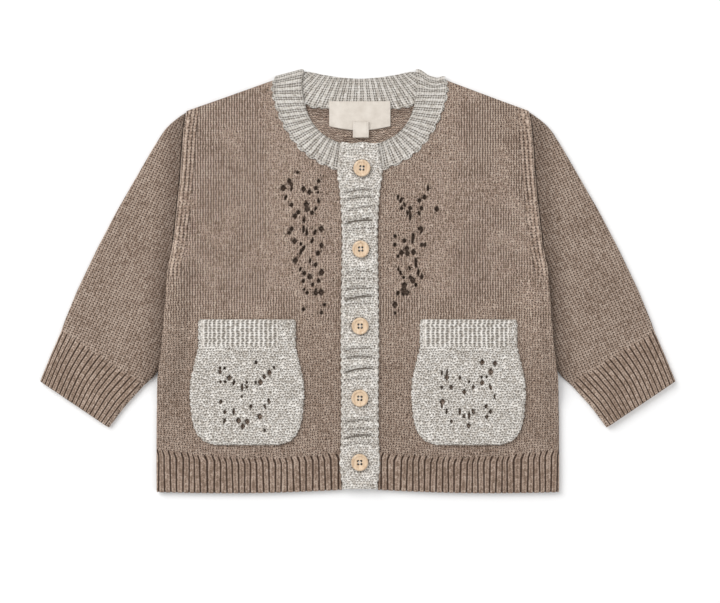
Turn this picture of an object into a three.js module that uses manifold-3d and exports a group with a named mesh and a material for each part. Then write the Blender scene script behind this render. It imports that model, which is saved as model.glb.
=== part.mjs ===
// A knitted baby cardigan, buttoned and laid flat on its back: brown back, fronts and sleeves, light
// bands round the neck and down the front, two light patch pockets, five wooden buttons and a label.
// Millimetres. X runs across the garment, Y from hem to neck, Z up from the surface it lies on.
import * as THREE from "three";
import { mergeVertices } from "three/addons/utils/BufferGeometryUtils.js";
import Module from "manifold-3d";

const wasm = await Module();
wasm.setup();

const CLOTH = 2; // thickness of one layer of knitting
const GAP = 0.3; // between pieces sewn side by side or lying on each other
const FRONT_Z = CLOTH + GAP; // underside of the fronts
const FRONT_TOP = FRONT_Z + CLOTH;
const OVER_Z = FRONT_TOP + GAP; // underside of what lies on the fronts
const CENTRE_FRONT = 1.4; // the opening and neck lie a little to the right of the body's middle

const RIB_CREST = 0.45; // height of a rib over the plain cloth
const RIB_GROOVE = 0.5; // depth of the groove between two ribs
const HEM_RIBS = 29; // on each front
const CUFF_RIBS = 17;
const POCKET_RIBS = 16;
const NECK_PITCH = 4.4; // from rib to rib along the middle of the neck band

const BUTTON = { diameter: 11.5, thickness: 2.6, dish: 0.6, sides: 20 };
const BUTTON_HOLE = { diameter: 1.5, ring: 2.6, sides: 6 }; // four holes on a ring
const LABEL = { width: 41.6, top: 123.3, bottom: 106.2, bow: 2.8, thickness: 1 };
const TAB = { width: 10.8, top: 109.2, bottom: 98.4, middle: 0.7, thickness: 1 };

// The rows of a table as objects with the named columns.
function table(columns, ...rows) {
  return rows.map((row) => Object.fromEntries(columns.map((name, i) => [name, row[i]])));
}

// Half the body from hem to neck: the side edge from the body's middle, the front opening from the
// centre front, and how far the row of stitches sags between them.
const BODY = table(
  ["sideX", "sideY", "openX", "openY", "sag"],
  [136.2, -143.6, 12.2, -141.8, 2.7],
  [136.4, -142, 12.2, -140.4, 2.7],
  [136.5, -128.5, 12.3, -129.2, 3],
  [136.5, -115.6, 12.5, -117.4, 4.6],
  [136.5, -114, 12.5, -115.8, 4.6],
  [136.5, -108, 12.4, -110, 4],
  [136.4, -90.4, 12, -89.8, 1.5],
  [136, -76, 12.1, -75, 0],
  [135.3, -63.2, 12.2, -60.5, 0],
  [132.5, -42.2, 12.5, -35.4, 0],
  [130.4, -15.6, 12.3, -10.2, 0],
  [129.1, 2, 12, 4.5, 0],
  [128.4, 10.2, 11.8, 14.3, 0],
  [126, 23.8, 11.5, 29.2, 0],
  [123.3, 46.2, 12.2, 49.6, 0],
);

// The neck from the band's end to the shoulder: the seam and the band's free edge from the centre
// front, and the height on the armhole edge that the front's row of stitches runs to.
const FRONT_NECK = table(
  ["seamX", "seamY", "freeX", "freeY", "sideY"],
  [12.7, 76.8, 12.2, 94.5, 68],
  [24, 80.6, 17.6, 96.6, 76.5],
  [38.4, 89.8, 25.8, 101.5, 90],
  [48.9, 103.4, 32.2, 108.8, 101],
  [55, 116.3, 36.2, 117.9, 109],
  [58.4, 127.8, 38.6, 128, 113.2],
  [58.5, 134, 39.4, 137, 115.3],
  [57.1, 138.2, 37.8, 143.4, 116.6],
);

// The neck from the shoulder to the centre back, where the band's inside shows.
const BACK_NECK = table(
  ["seamX", "seamY", "freeX", "freeY"],
  [57.1, 138.2, 37.8, 143.4],
  [52.3, 131.2, 33.9, 143.3],
  [45.5, 125.1, 28.5, 142.2],
  [36.7, 121.4, 23.1, 141.1],
  [20.3, 118, 12.9, 139.6],
  [0, 117, 0, 138.7],
);

// Armhole edge above the body's rows, from the body's middle.
const ARMHOLE = table(
  ["y", "x"],
  [46.2, 123.3],
  [66.6, 121.2],
  [78.2, 120.2],
  [90.4, 119.5],
  [100.6, 118.7],
  [109.5, 117.7],
  [116.6, 116.1],
);

// Rings round the flattened sleeve from the cuff's end to the armhole, from the body's middle.
const SLEEVE = table(
  ["outerX", "outerY", "innerX", "innerY", "surface"],
  [215.8, -67.2, 169.2, -98.6, "ribbed"],
  [208.6, -49.6, 158.3, -84, "ribbed"],
  [201.1, -32.4, 144.4, -68.8, "ribbed"],
  [200.5, -30.7, 143, -67.7, "flat"],
  [198.6, -25, 138.6, -64, "plain"],
  [190.3, -4.8, 128, -48.3, "plain"],
  [177.3, 22.4, 125, -28.6, "plain"],
  [163.1, 49.6, 124.6, -11.6, "plain"],
  [147.4, 76.8, 125.3, -0.7, "plain"],
  [139.2, 91, 125.8, 2.4, "plain"],
  [131.1, 104, 126.7, 6.1, "plain"],
  [123, 111.8, 127.7, 8.4, "plain"],
  [116.6, 116.3, 128.8, 10.2, "plain"],
);

// The body's side lies over the sleeve's under-arm edge: from where to where along the side, how
// wide the raised strip stays level and how far in it comes down again.
const TUCK = { top: 30, underarm: 8, out: -63, bottom: -86, level: 7, reach: 20 };
const TUCK_HEIGHT = FRONT_TOP + GAP;

// The band down the front: half its width and its creases, which run across it.
const BAND = table(
  ["y", "half"],
  [-139.5, 11.1],
  [-132.6, 12],
  [-123.1, 13.2],
  [-106.8, 12.2],
  [-76.2, 12],
  [-45.6, 12.4],
  [-20.4, 12.2],
  [14.3, 11.7],
  [32.6, 11.4],
  [51.7, 12.2],
  [63.2, 13.1],
  [73.4, 14.9],
  [80.2, 14.1],
  [89.1, 12.7],
  [94.9, 12.2],
);
const CREASES = table(
  ["y", "depth", "slope"],
  [60, 0.5, 0.06],
  [53.5, 0.5, -0.04],
  [40.9, 1.1, 0.08],
  [4, 0.5, 0.05],
  [-2.5, 0.5, -0.05],
  [-10.7, 1.1, 0.08],
  [-48, 0.6, 0.03],
  [-59.8, 1.1, -0.08],
  [-94, 0.6, 0.05],
  [-103.2, 0.7, -0.04],
);
const CREASE_WIDTH = 3.2;
const BUTTON_PLACES = table(
  ["x", "y"],
  [1.4, 77.5],
  [0.6, 22.8],
  [0.2, -29.2],
  [0, -77.9],
  [-0.1, -121.3],
);
const UNDER_BAND = { half: 11.1, bottom: -137.8, top: 93.6 };

// A pocket from its foot to its mouth, as half widths.
const POCKET_X = 75; // its middle from the body's middle
const POCKET = table(
  ["y", "half", "edge"],
  [-109.8, 20, 0.35],
  [-108.9, 25.5, 0.6],
  [-107, 29.5, 1],
  [-103.4, 33.2, 1],
  [-98.6, 35.7, 1],
  [-91.1, 37.5, 1],
  [-76.8, 38.8, 1],
  [-66.6, 38.4, 1],
  [-53.7, 35.4, 1],
  [-47, 33.8, 1],
);
const POCKET_RIB = table(
  ["y", "half", "surface"],
  [-44.2, 33, "flat"],
  [-42.8, 32.9, "ribbed"],
  [-26, 33, "ribbed"],
  [-24.8, 33, "edge"],
);

// The widest eyelets of the lace, on a front from the centre front and on a pocket from its middle.
// The knitting's smaller eyelets between them are too fine for this form.
const EYELET = { across: 4.2, along: 4.8 };
const FRONT_EYELETS = table(
  ["x", "y"],
  [41, 74],
  [48, 65],
  [35, 62],
  [46, 50],
  [36, 36],
  [47, 33],
  [27, 30],
  [42, 18],
  [27, 19],
  [35, 6],
  [36, -7],
  [24, -17],
);
const POCKET_EYELETS = table(
  ["x", "y"],
  [-18, -56],
  [-11, -64],
  [-2, -71],
  [8, -64],
  [15, -56],
  [-12, -86],
  [-2, -94],
  [9, -85],
);

const mix = THREE.MathUtils.lerp;
const smooth = THREE.MathUtils.smoothstep;
const point = (x, y, z) => new THREE.Vector3(x, y, z);

// The value in one column of a table at a value of another, in a straight line between two rows.
function lookUp(rows, column, value, wanted) {
  let i = 0;
  while (i < rows.length - 2 && rows[i + 1][column] < value) i++;
  const part = (value - rows[i][column]) / (rows[i + 1][column] - rows[i][column]);
  return mix(rows[i][wanted], rows[i + 1][wanted], THREE.MathUtils.clamp(part, 0, 1));
}

// The body's side edge at a height.
function bodySide(y) {
  if (y > ARMHOLE[0].y) return lookUp(ARMHOLE, "y", y, "x");
  return lookUp(BODY, "sideY", y, "sideX");
}

// How far the body is raised at a place where it lies over the sleeve.
function tuckLift(x, y) {
  const along = smooth(y, TUCK.bottom, TUCK.out) * (1 - smooth(y, TUCK.underarm, TUCK.top));
  const inward = bodySide(y) - Math.abs(x);
  return TUCK_HEIGHT * along * (1 - smooth(inward, TUCK.level, TUCK.reach));
}

// Triangles between two lines of points that run the same way, with any number of points in each.
function stitch(triangles, lineA, lineB, turned = false) {
  const along = (line) => line.shares ?? line.map((_, i) => i / (line.length - 1));
  const sharesA = along(lineA);
  const sharesB = along(lineB);
  let a = 0;
  let b = 0;
  while (a < lineA.length - 1 || b < lineB.length - 1) {
    const stepA = b === lineB.length - 1 || (a < lineA.length - 1 && sharesA[a + 1] <= sharesB[b + 1]);
    const third = stepA ? lineA[a + 1] : lineB[b + 1];
    triangles.push(turned ? [lineB[b], third, lineA[a]] : [lineA[a], third, lineB[b]]);
    if (stepA) a++;
    else b++;
  }
}

// Gives each point of a line its share of the way across, which lines of unlike counts are stitched by.
function shared(points, shares) {
  points.shares = shares;
  return points;
}

// A closed geometry of the triangles, turned so that its faces point out.
function closed(triangles) {
  const volume = triangles.reduce((sum, [a, b, c]) => sum + a.dot(b.clone().cross(c)), 0);
  const corners = triangles.flatMap(([a, b, c]) => (volume < 0 ? [a, c, b] : [a, b, c]));
  const geometry = new THREE.BufferGeometry().setFromPoints(corners);
  return mergeVertices(geometry, 1e-4);
}

// A wall of cloth from rows, each with a line of points along its top and one along its underside.
function wall(rows) {
  const triangles = [];
  const first = rows[0];
  const last = rows[rows.length - 1];
  for (let i = 0; i < rows.length - 1; i++) {
    stitch(triangles, rows[i].top, rows[i + 1].top);
    stitch(triangles, rows[i].under, rows[i + 1].under, true);
  }
  stitch(triangles, first.under, first.top);
  stitch(triangles, last.under, last.top, true);
  const edge = (end, side) => rows.map((row) => row[side].at(end));
  stitch(triangles, edge(0, "under"), edge(0, "top"), true);
  stitch(triangles, edge(-1, "under"), edge(-1, "top"));
  return closed(triangles);
}

// A flattened tube from rings, each with the top and underside lines of its outside and its hollow.
function tube(rings) {
  const triangles = [];
  for (let i = 0; i < rings.length - 1; i++) {
    stitch(triangles, rings[i].top, rings[i + 1].top);
    stitch(triangles, rings[i].under, rings[i + 1].under, true);
    stitch(triangles, rings[i].hollowTop, rings[i + 1].hollowTop, true);
    stitch(triangles, rings[i].hollowUnder, rings[i + 1].hollowUnder);
  }
  const first = rings[0];
  const last = rings[rings.length - 1];
  stitch(triangles, first.hollowTop, first.top);
  stitch(triangles, first.under, first.hollowUnder);
  stitch(triangles, last.hollowTop, last.top, true);
  stitch(triangles, last.under, last.hollowUnder, true);
  return closed(triangles);
}

// A strip from loops of points with the same number in each.
function loft(loops) {
  const triangles = [];
  const count = loops[0].length;
  for (let i = 0; i < loops.length - 1; i++)
    for (let j = 0; j < count; j++) {
      const next = (j + 1) % count;
      triangles.push([loops[i][j], loops[i][next], loops[i + 1][j]]);
      triangles.push([loops[i][next], loops[i + 1][next], loops[i + 1][j]]);
    }
  const first = loops[0];
  const last = loops[loops.length - 1];
  for (let j = 1; j < count - 1; j++) {
    triangles.push([first[0], first[j + 1], first[j]]);
    triangles.push([last[0], last[j], last[j + 1]]);
  }
  return closed(triangles);
}

// Places across a ribbed stretch and the height there: two on each crest and two in each groove.
const RIB_PROFILE = table(
  ["part", "height"],
  [0.1, RIB_CREST],
  [0.4, RIB_CREST],
  [0.6, -RIB_GROOVE],
  [0.9, -RIB_GROOVE],
);
function ribPlaces(from, to, ribs, flat = false) {
  const places = [];
  for (let rib = 0; rib < ribs; rib++)
    for (const { part, height } of RIB_PROFILE)
      places.push({ at: mix(from, to, (rib + part) / ribs), height: flat ? 0 : height });
  return places;
}

// A closed mesh as a solid that can be cut, and back.
function solidOf(geometry) {
  const bare = geometry.clone();
  bare.deleteAttribute("normal");
  bare.deleteAttribute("uv");
  const merged = mergeVertices(bare, 1e-4);
  const vertProperties = merged.attributes.position.array;
  const triVerts = new Uint32Array(merged.index.array);
  return new wasm.Manifold(new wasm.Mesh({ numProp: 3, vertProperties, triVerts }));
}

function geometryOf(solid) {
  const mesh = solid.getMesh();
  return new THREE.BufferGeometry()
    .setAttribute("position", new THREE.BufferAttribute(mesh.vertProperties, 3))
    .setIndex(new THREE.BufferAttribute(mesh.triVerts, 1));
}

// Cuts eyelets through a panel at places in its plane.
function cutEyelets(geometry, places) {
  const sides = 6;
  const height = 4 * OVER_Z;
  const holes = places.map(({ x, y }) => {
    const hole = new THREE.CylinderGeometry(EYELET.across / 2, EYELET.across / 2, height, sides);
    hole.rotateX(Math.PI / 2);
    hole.scale(1, EYELET.along / EYELET.across, 1);
    hole.translate(x, y, 0);
    return solidOf(hole);
  });
  return geometryOf(holes.reduce((left, hole) => left.subtract(hole), solidOf(geometry)));
}

// The seam and free edge of the neck band as curves.
function neckCurve(rows, x, y) {
  return new THREE.CatmullRomCurve3(rows.map((row) => point(row[x], row[y], 0)));
}
const frontSeam = neckCurve(FRONT_NECK, "seamX", "seamY");
const frontFree = neckCurve(FRONT_NECK, "freeX", "freeY");
const mirrored = BACK_NECK.slice(0, -1).map((row) => ({ ...row, seamX: -row.seamX, freeX: -row.freeX }));
const wholeBackNeck = [...BACK_NECK, ...mirrored.reverse()];
const backSeam = neckCurve(wholeBackNeck, "seamX", "seamY");
const backFree = neckCurve(wholeBackNeck, "freeX", "freeY");

// The rows of a front from hem to shoulder, as the two ends of each row. The ribs run out into the
// plain cloth at a flat row.
const NECK_ROWS = 20;
const HEM_FLAT_ROW = 4;
function frontRows(side) {
  const rows = BODY.map((row, i) => ({
    outer: point(side * row.sideX, row.sideY, 0),
    inner: point(CENTRE_FRONT + side * row.openX, row.openY, 0),
    sag: row.sag,
    ribbed: i <= HEM_FLAT_ROW,
    flat: i === HEM_FLAT_ROW,
  }));
  const sideY = new THREE.CatmullRomCurve3(FRONT_NECK.map((row) => point(row.sideY, 0, 0)));
  for (let i = 0; i <= NECK_ROWS; i++) {
    const seam = frontSeam.getPoint(i / NECK_ROWS);
    const y = sideY.getPoint(i / NECK_ROWS).x;
    const outer = point(side * bodySide(y), y, 0);
    rows.push({ outer, inner: point(CENTRE_FRONT + side * seam.x, seam.y, 0), sag: 0, ribbed: false });
  }
  return rows;
}

// Height of the fashioned border along the armhole: a rounded edge, a groove and a second column.
const ARMHOLE_BORDER = table(
  ["inward", "height"],
  [0, -1],
  [1.2, 0.3],
  [5, 0.5],
  [6.2, -0.3],
  [10, 0.3],
  [13, 0],
);
const ARMHOLE_FOOT = 6; // the border ends at the underarm
const SIDE_EDGE = table(["inward", "height"], [0, -1], [1.2, -0.3], [5, 0]);

// Extra height of a front's top at a distance in from its side edge.
function frontEdge(inward, y) {
  const border = lookUp(ARMHOLE_BORDER, "inward", Math.min(inward, 13), "height");
  const plain = lookUp(SIDE_EDGE, "inward", Math.min(inward, 5), "height");
  return mix(plain, border, smooth(y, ARMHOLE_FOOT, ARMHOLE_FOOT + 8));
}

const HEM_THINNED = 0.9; // the hem's last row is thinner by this much
const TUCK_PLACES = [0, 7, 10, 13, 16.5, 20]; // in from the side edge, on both layers
const FRONT_TOP_PLACES = [0, 1.2, 5, 6.2, 10, 13, 16.5, 20];

// One point of a row at a distance in from the side edge.
function placeOnRow(row, inward) {
  const length = row.outer.distanceTo(row.inner);
  const place = row.outer.clone().lerp(row.inner, inward / length);
  place.y -= row.sag * Math.sin((Math.PI * inward) / length);
  return place;
}

function lineOnRow(row, places) {
  const length = row.outer.distanceTo(row.inner);
  const points = places.map(({ at, z }) => {
    const place = placeOnRow(row, at);
    place.z = z + tuckLift(place.x, place.y);
    return place;
  });
  return shared(points, places.map(({ at }) => at / length));
}

function frontPanel(side) {
  const rows = frontRows(side);
  const lines = rows.map((row, i) => {
    const length = row.outer.distanceTo(row.inner);
    const y = row.outer.y;
    const rest = [mix(20, length, 0.35), mix(20, length, 0.7), length - 2, length];
    const plain = [...FRONT_TOP_PLACES, ...rest].map((at) => ({ at, height: frontEdge(at, y) }));
    const ribs = ribPlaces(1.5, length - 2.2, HEM_RIBS, row.flat);
    const ribbed = [{ at: 0, height: -1 }, ...ribs, { at: length - 1.2, height: 0 }, { at: length, height: 0 }];
    const thin = i === 0 ? HEM_THINNED : 0;
    const top = (row.ribbed ? ribbed : plain).map(({ at, height }) => ({ at, z: FRONT_TOP + height - thin }));
    const under = [...TUCK_PLACES, ...rest].map((at) => ({ at, z: FRONT_Z }));
    return { top: lineOnRow(row, top), under: lineOnRow(row, under) };
  });
  const eyelets = FRONT_EYELETS.map(({ x, y }) => ({ x: CENTRE_FRONT + side * x, y }));
  return cutEyelets(wall(lines), eyelets);
}

// The back: rows under the fronts' rows up to the armhole, then rows that rise to the shoulders and
// the back neck.
const BACK_NECK_POINTS = 22;
function backPanel() {
  const shoulder = point(ARMHOLE.at(-1).x, ARMHOLE.at(-1).y, 0);
  const lines = BODY.map((row) => {
    const left = { outer: point(-row.sideX, row.sideY, 0), inner: point(0, row.openY, 0), sag: row.sag };
    const right = { ...left, outer: point(row.sideX, row.sideY, 0) };
    return backRow(left, right);
  });
  const rise = [0, 0.3, 0.65, 1];
  const neckLine = backTopLine(shoulder);
  const low = 68;
  for (const part of rise) {
    const y = mix(low, shoulder.y, part);
    const points = neckLine.map((place) => {
      const x = place.x * mix(bodySide(y) / shoulder.x, 1, part);
      return point(x, mix(low, place.y, part), 0);
    });
    lines.push(backUpperRow(points));
  }
  return wall(lines);
}

// The top edge of the back from the left shoulder point round the neck to the right one.
function backTopLine(shoulder) {
  const neck = [];
  for (let i = 0; i <= BACK_NECK_POINTS; i++) {
    const place = backSeam.getPoint(i / BACK_NECK_POINTS);
    neck.unshift(point(CENTRE_FRONT + place.x, place.y, 0));
  }
  return [point(-shoulder.x, shoulder.y, 0), ...neck, shoulder];
}

const BACK_EDGE = 0.7; // the back's rounded edge is lifted this far from the surface

function backUpperRow(points) {
  const edge = (i) => (i === 0 || i === points.length - 1 ? BACK_EDGE : 0);
  const shares = points.map(({ x }) => (x - points[0].x) / (points.at(-1).x - points[0].x));
  const top = points.map(({ x, y }) => point(x, y, CLOTH));
  const under = points.map(({ x, y }, i) => point(x, y, edge(i)));
  return { top: shared(top, shares), under: shared(under, shares) };
}

function backRow(left, right) {
  const width = right.outer.x - left.outer.x;
  const half = (row) => TUCK_PLACES.map((at) => placeOnRow(row, at));
  const places = [...half(left), ...half(right).reverse()];
  const shares = places.map(({ x }) => (x - left.outer.x) / width);
  const raised = ({ x, y }, z) => point(x, y, z + tuckLift(x, y));
  const edge = (i) => (i === 0 || i === places.length - 1 ? BACK_EDGE : 0);
  const top = places.map((place) => raised(place, CLOTH));
  const under = places.map((place, i) => raised(place, edge(i)));
  return { top: shared(top, shares), under: shared(under, shares) };
}

// Heights across a flattened sleeve near its two folds, from the fold inwards.
const FOLD_Z = FRONT_TOP / 2;
const SLEEVE_FOLD = table(["inward", "part"], [0, 0], [1, 0.6], [4, 1]);
const HOLLOW_EDGE = 2.2; // from the fold to the hollow's edge
const ARMHOLE_SEAM = 0.4;
const ARMHOLE_PARTS = [0.1, 0.2, 0.3, 0.42, 0.54, 0.66, 0.77, 0.88]; // where the armhole ring bends

// One line across a sleeve's ring, at places from the outer fold to the inner one.
function sleeveLine(row, places, atArmhole, side) {
  const outer = point(row.outerX, row.outerY, 0);
  const inner = point(row.innerX, row.innerY, 0);
  const length = outer.distanceTo(inner);
  const points = places.map(({ at, z }) => {
    const place = outer.clone().lerp(inner, at / length);
    const x = atArmhole ? bodySide(place.y) + ARMHOLE_SEAM : place.x;
    return point(side * x, place.y, z);
  });
  return shared(points, places.map(({ at }) => at / length));
}

function sleeveTube(side) {
  const rings = SLEEVE.map((row, i) => {
    const length = Math.hypot(row.outerX - row.innerX, row.outerY - row.innerY);
    const atArmhole = i === SLEEVE.length - 1;
    const folds = SLEEVE_FOLD.map(({ inward, part }) => ({ at: inward, part }));
    const bends = atArmhole ? ARMHOLE_PARTS.map((share) => ({ at: share * length, part: 1 })) : [];
    const across = [...folds, ...bends, ...folds.map(({ at, part }) => ({ at: length - at, part })).reverse()];
    const upper = across.map(({ at, part }) => ({ at, z: mix(FOLD_Z, FRONT_TOP, part) }));
    const lower = across.map(({ at, part }) => ({ at, z: mix(FOLD_Z, 0, part) }));
    const isFlat = row.surface === "flat";
    const ribs = ribPlaces(1.5, length - 1.5, CUFF_RIBS, isFlat).map(({ at, height }) => ({
      at,
      z: FRONT_TOP + height,
    }));
    const ribbed = [upper[0], ...ribs, upper.at(-1)];
    const hollow = [HOLLOW_EDGE, length - HOLLOW_EDGE];
    const hollowLine = (z) => {
      const ends = hollow.map((at) => ({ at, z: FOLD_Z }));
      const middle = [HOLLOW_EDGE + 2, length - HOLLOW_EDGE - 2].map((at) => ({ at, z }));
      return [ends[0], middle[0], ...bends.map(({ at }) => ({ at, z })), middle[1], ends[1]];
    };
    const line = (places) => sleeveLine(row, places, atArmhole, side);
    return {
      top: line(row.surface === "plain" ? upper : ribbed),
      under: line(lower),
      hollowTop: line(hollowLine(FRONT_Z)),
      hollowUnder: line(hollowLine(CLOTH)),
    };
  });
  return tube(rings);
}

// Sections of the neck band: its seam and free edge, and the turn of its outside, which faces up in
// front, outwards on the fold at the shoulder and down behind.
const FOLD_TURNS = [60, 30, 0, -30, -60];
const OUTSIDE_UP = 90;
const END_PLAIN = 4; // the band's ends carry no rib where the front band lies over them

// Ribs of a stretch of band as places from 0 to 1 along its curves, with the height there.
function bandRibs(seam, free, plainStart) {
  const middle = (u) => seam.getPoint(u).lerp(free.getPoint(u), 0.5);
  const steps = 240;
  const lengths = [0];
  for (let i = 1; i <= steps; i++)
    lengths.push(lengths[i - 1] + middle(i / steps).distanceTo(middle((i - 1) / steps)));
  const whole = lengths.at(-1);
  const ribs = Math.round((whole - plainStart) / NECK_PITCH);
  const where = lengths.map((length, i) => ({ length, u: i / steps }));
  return ribPlaces(plainStart, whole, ribs).map(({ at, height }) => ({
    u: lookUp(where, "length", at, "u"),
    height,
  }));
}

function bandSection(seamPoint, freePoint, mirror, turn, outsideRaise, insideRaise) {
  const seam = point(CENTRE_FRONT + mirror * seamPoint.x, seamPoint.y, FOLD_Z);
  const free = point(CENTRE_FRONT + mirror * freePoint.x, freePoint.y, FOLD_Z);
  seam.add(free.clone().sub(seam).setLength(GAP));
  const angle = THREE.MathUtils.degToRad(turn);
  const away = free.clone().sub(seam).normalize();
  const outward = point(-away.y, away.x, 0);
  if (outward.y < 0) outward.negate();
  const normal = outward.multiplyScalar(Math.cos(angle)).add(point(0, 0, Math.sin(angle)));
  const inside = GAP / 2 - insideRaise;
  const outside = GAP / 2 + CLOTH + outsideRaise;
  const offset = (base, distance) => base.clone().addScaledVector(normal, distance);
  return [offset(seam, outside), offset(free, outside), offset(free, inside), offset(seam, inside)];
}

function neckBand() {
  const frontRibs = [{ u: 0, height: 0 }, ...bandRibs(frontSeam, frontFree, END_PLAIN)];
  const backRibs = bandRibs(backSeam, backFree, 0);
  const front = (mirror) =>
    frontRibs.map(({ u, height }) =>
      bandSection(frontSeam.getPoint(u), frontFree.getPoint(u), mirror, OUTSIDE_UP, height * 0.9, 0),
    );
  const fold = (mirror) =>
    FOLD_TURNS.map((turn) => bandSection(frontSeam.getPoint(1), frontFree.getPoint(1), mirror, turn, 0, 0));
  const back = backRibs.map(({ u, height }) =>
    bandSection(backSeam.getPoint(u), backFree.getPoint(u), 1, -OUTSIDE_UP, 0, Math.min(height, 0)),
  );
  return loft([...front(1), ...fold(1), ...back, ...fold(-1).reverse(), ...front(-1).reverse()]);
}

// Height of the front band over its plain thickness: creases between the buttons, flat under them.
const BUTTON_SEAT = 8; // half the length of band that stays flat under a button
function creaseHeight(x, y) {
  const seat = Math.min(...BUTTON_PLACES.map((place) => Math.abs(place.y - y)));
  const clear = smooth(seat, BUTTON_SEAT - 2, BUTTON_SEAT + 3);
  const dents = CREASES.map(({ y: at, depth, slope }) => {
    const away = (y - at - slope * x) / CREASE_WIDTH;
    return depth * Math.exp(-away * away);
  });
  const swell = 0.35;
  return clear * (swell - Math.max(...dents));
}

const BAND_STEP = 3.4;
function buttonholeBand() {
  const [foot, head] = [BAND[0].y, BAND.at(-1).y];
  const steps = Math.round((head - foot) / BAND_STEP);
  const rows = [];
  for (let i = 0; i <= steps; i++) {
    const y = mix(foot, head, i / steps);
    const half = lookUp(BAND, "y", y, "half");
    const end = i === 0 || i === steps ? 0.7 : 0;
    const heights = table(["x", "drop"], [-half, 1.1], [2 - half, 0], [0, 0], [half - 2, 0], [half, 1.1]);
    const top = heights.map(({ x, drop }) => {
      const z = OVER_Z + CLOTH + creaseHeight(x, y) * (drop ? 0.4 : 1) - drop - end;
      return point(CENTRE_FRONT + x, y, z);
    });
    const under = [-half, half].map((x) => point(CENTRE_FRONT + x, y, OVER_Z));
    rows.push({ top, under });
  }
  return wall(rows);
}

// A plain flat wall with one width.
function plainWall(left, right, bottom, top, z, thickness, bow = 0) {
  const columns = 8;
  const rows = [];
  const across = Array.from({ length: columns + 1 }, (_, i) => i / columns);
  for (const y of [bottom, top]) {
    const dip = y === bottom ? bow : 0;
    const line = (height) =>
      across.map((part) => point(mix(left, right, part), y - dip * Math.sin(Math.PI * part), height));
    rows.push({ top: line(z + thickness), under: line(z) });
  }
  return wall(rows);
}

function buttonBand() {
  const { half, bottom, top } = UNDER_BAND;
  return plainWall(CENTRE_FRONT - half, CENTRE_FRONT + half, bottom, top, FRONT_Z, CLOTH);
}

const POCKET_SWELL = 0.3; // the pocket's middle stands a little fuller than its sewn edge
const MOUTH_EDGE = 0.6; // the mouth's edge is thinner by this much

function patchPocket(side) {
  const middle = side * POCKET_X;
  const line = (y, places) => places.map(({ at, z }) => point(middle + at, y, z));
  const under = (y, half) => line(y, [{ at: -half, z: OVER_Z }, { at: half, z: OVER_Z }]);
  const plain = POCKET.map(({ y, half, edge }) => {
    const steps = table(["inward", "height"], [0, 0.8], [1.5, 1.7], [6, CLOTH], [16, CLOTH + POCKET_SWELL]);
    const left = steps.map(({ inward, height }) => ({ at: inward - half, z: OVER_Z + height * edge }));
    const right = left.map(({ at, z }) => ({ at: -at, z })).reverse();
    const places = [...left, ...right];
    const shares = places.map(({ at }) => (at + half) / (2 * half));
    return { top: shared(line(y, places), shares), under: under(y, half) };
  });
  const ribbed = POCKET_RIB.map(({ y, half, surface }) => {
    const thin = surface === "edge" ? MOUTH_EDGE : 0;
    const ribs = ribPlaces(1 - half, half - 1, POCKET_RIBS, surface === "flat").map(({ at, height }) => ({
      at,
      z: OVER_Z + CLOTH + height - thin,
    }));
    const end = { at: -half, z: OVER_Z + 0.8 };
    const places = [end, ...ribs, { at: half, z: end.z }];
    const shares = places.map(({ at }) => (at + half) / (2 * half));
    return { top: shared(line(y, places), shares), under: under(y, half) };
  });
  const eyelets = POCKET_EYELETS.map(({ x, y }) => ({ x: middle + side * x, y }));
  return cutEyelets(wall([...plain, ...ribbed]), eyelets);
}

// A wooden button: a turned disc with a raised rim, a dished middle and four holes.
function woodenButton() {
  const radius = BUTTON.diameter / 2;
  const { thickness, dish } = BUTTON;
  const profile = [
    [0, 0],
    [radius * 0.8, 0],
    [radius, thickness * 0.4],
    [radius, thickness * 0.7],
    [radius * 0.9, thickness],
    [radius * 0.72, thickness],
    [radius * 0.6, thickness - dish],
    [0, thickness - dish],
  ];
  const disc = new THREE.LatheGeometry(profile.map(([x, y]) => new THREE.Vector2(x, y)), BUTTON.sides);
  disc.rotateX(Math.PI / 2);
  let solid = solidOf(disc);
  for (const turn of [45, 135, 225, 315]) {
    const angle = THREE.MathUtils.degToRad(turn);
    const bore = BUTTON_HOLE.diameter / 2;
    const away = BUTTON_HOLE.ring / 2;
    const hole = new THREE.CylinderGeometry(bore, bore, 4 * thickness, BUTTON_HOLE.sides);
    hole.rotateX(Math.PI / 2);
    hole.translate(Math.cos(angle) * away, Math.sin(angle) * away, 0);
    solid = solid.subtract(solidOf(hole));
  }
  return geometryOf(solid);
}

const LABEL_Z = CLOTH + GAP;
function label() {
  const left = CENTRE_FRONT - LABEL.width / 2;
  return plainWall(left, left + LABEL.width, LABEL.bottom, LABEL.top, LABEL_Z, LABEL.thickness, LABEL.bow);
}

function sizeTab() {
  const left = CENTRE_FRONT + TAB.middle - TAB.width / 2;
  const z = LABEL_Z + LABEL.thickness + GAP;
  return plainWall(left, left + TAB.width, TAB.bottom, TAB.top, z, TAB.thickness);
}

// Surfaces
function cloth(colour, roughness = 0.95) {
  return new THREE.MeshStandardMaterial({ color: colour, roughness, metalness: 0, flatShading: true });
}
const brownKnit = () => cloth(0x958273);
const greyKnit = () => cloth(0xbab5ad);
const wood = () => cloth(0xd9c7b3, 0.55);
const wovenTape = () => cloth(0xe7ded3, 0.85);

const cardigan = new THREE.Group();
function add(name, geometry, material) {
  const mesh = new THREE.Mesh(geometry, material);
  mesh.name = name;
  cardigan.add(mesh);
  return mesh;
}

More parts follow.
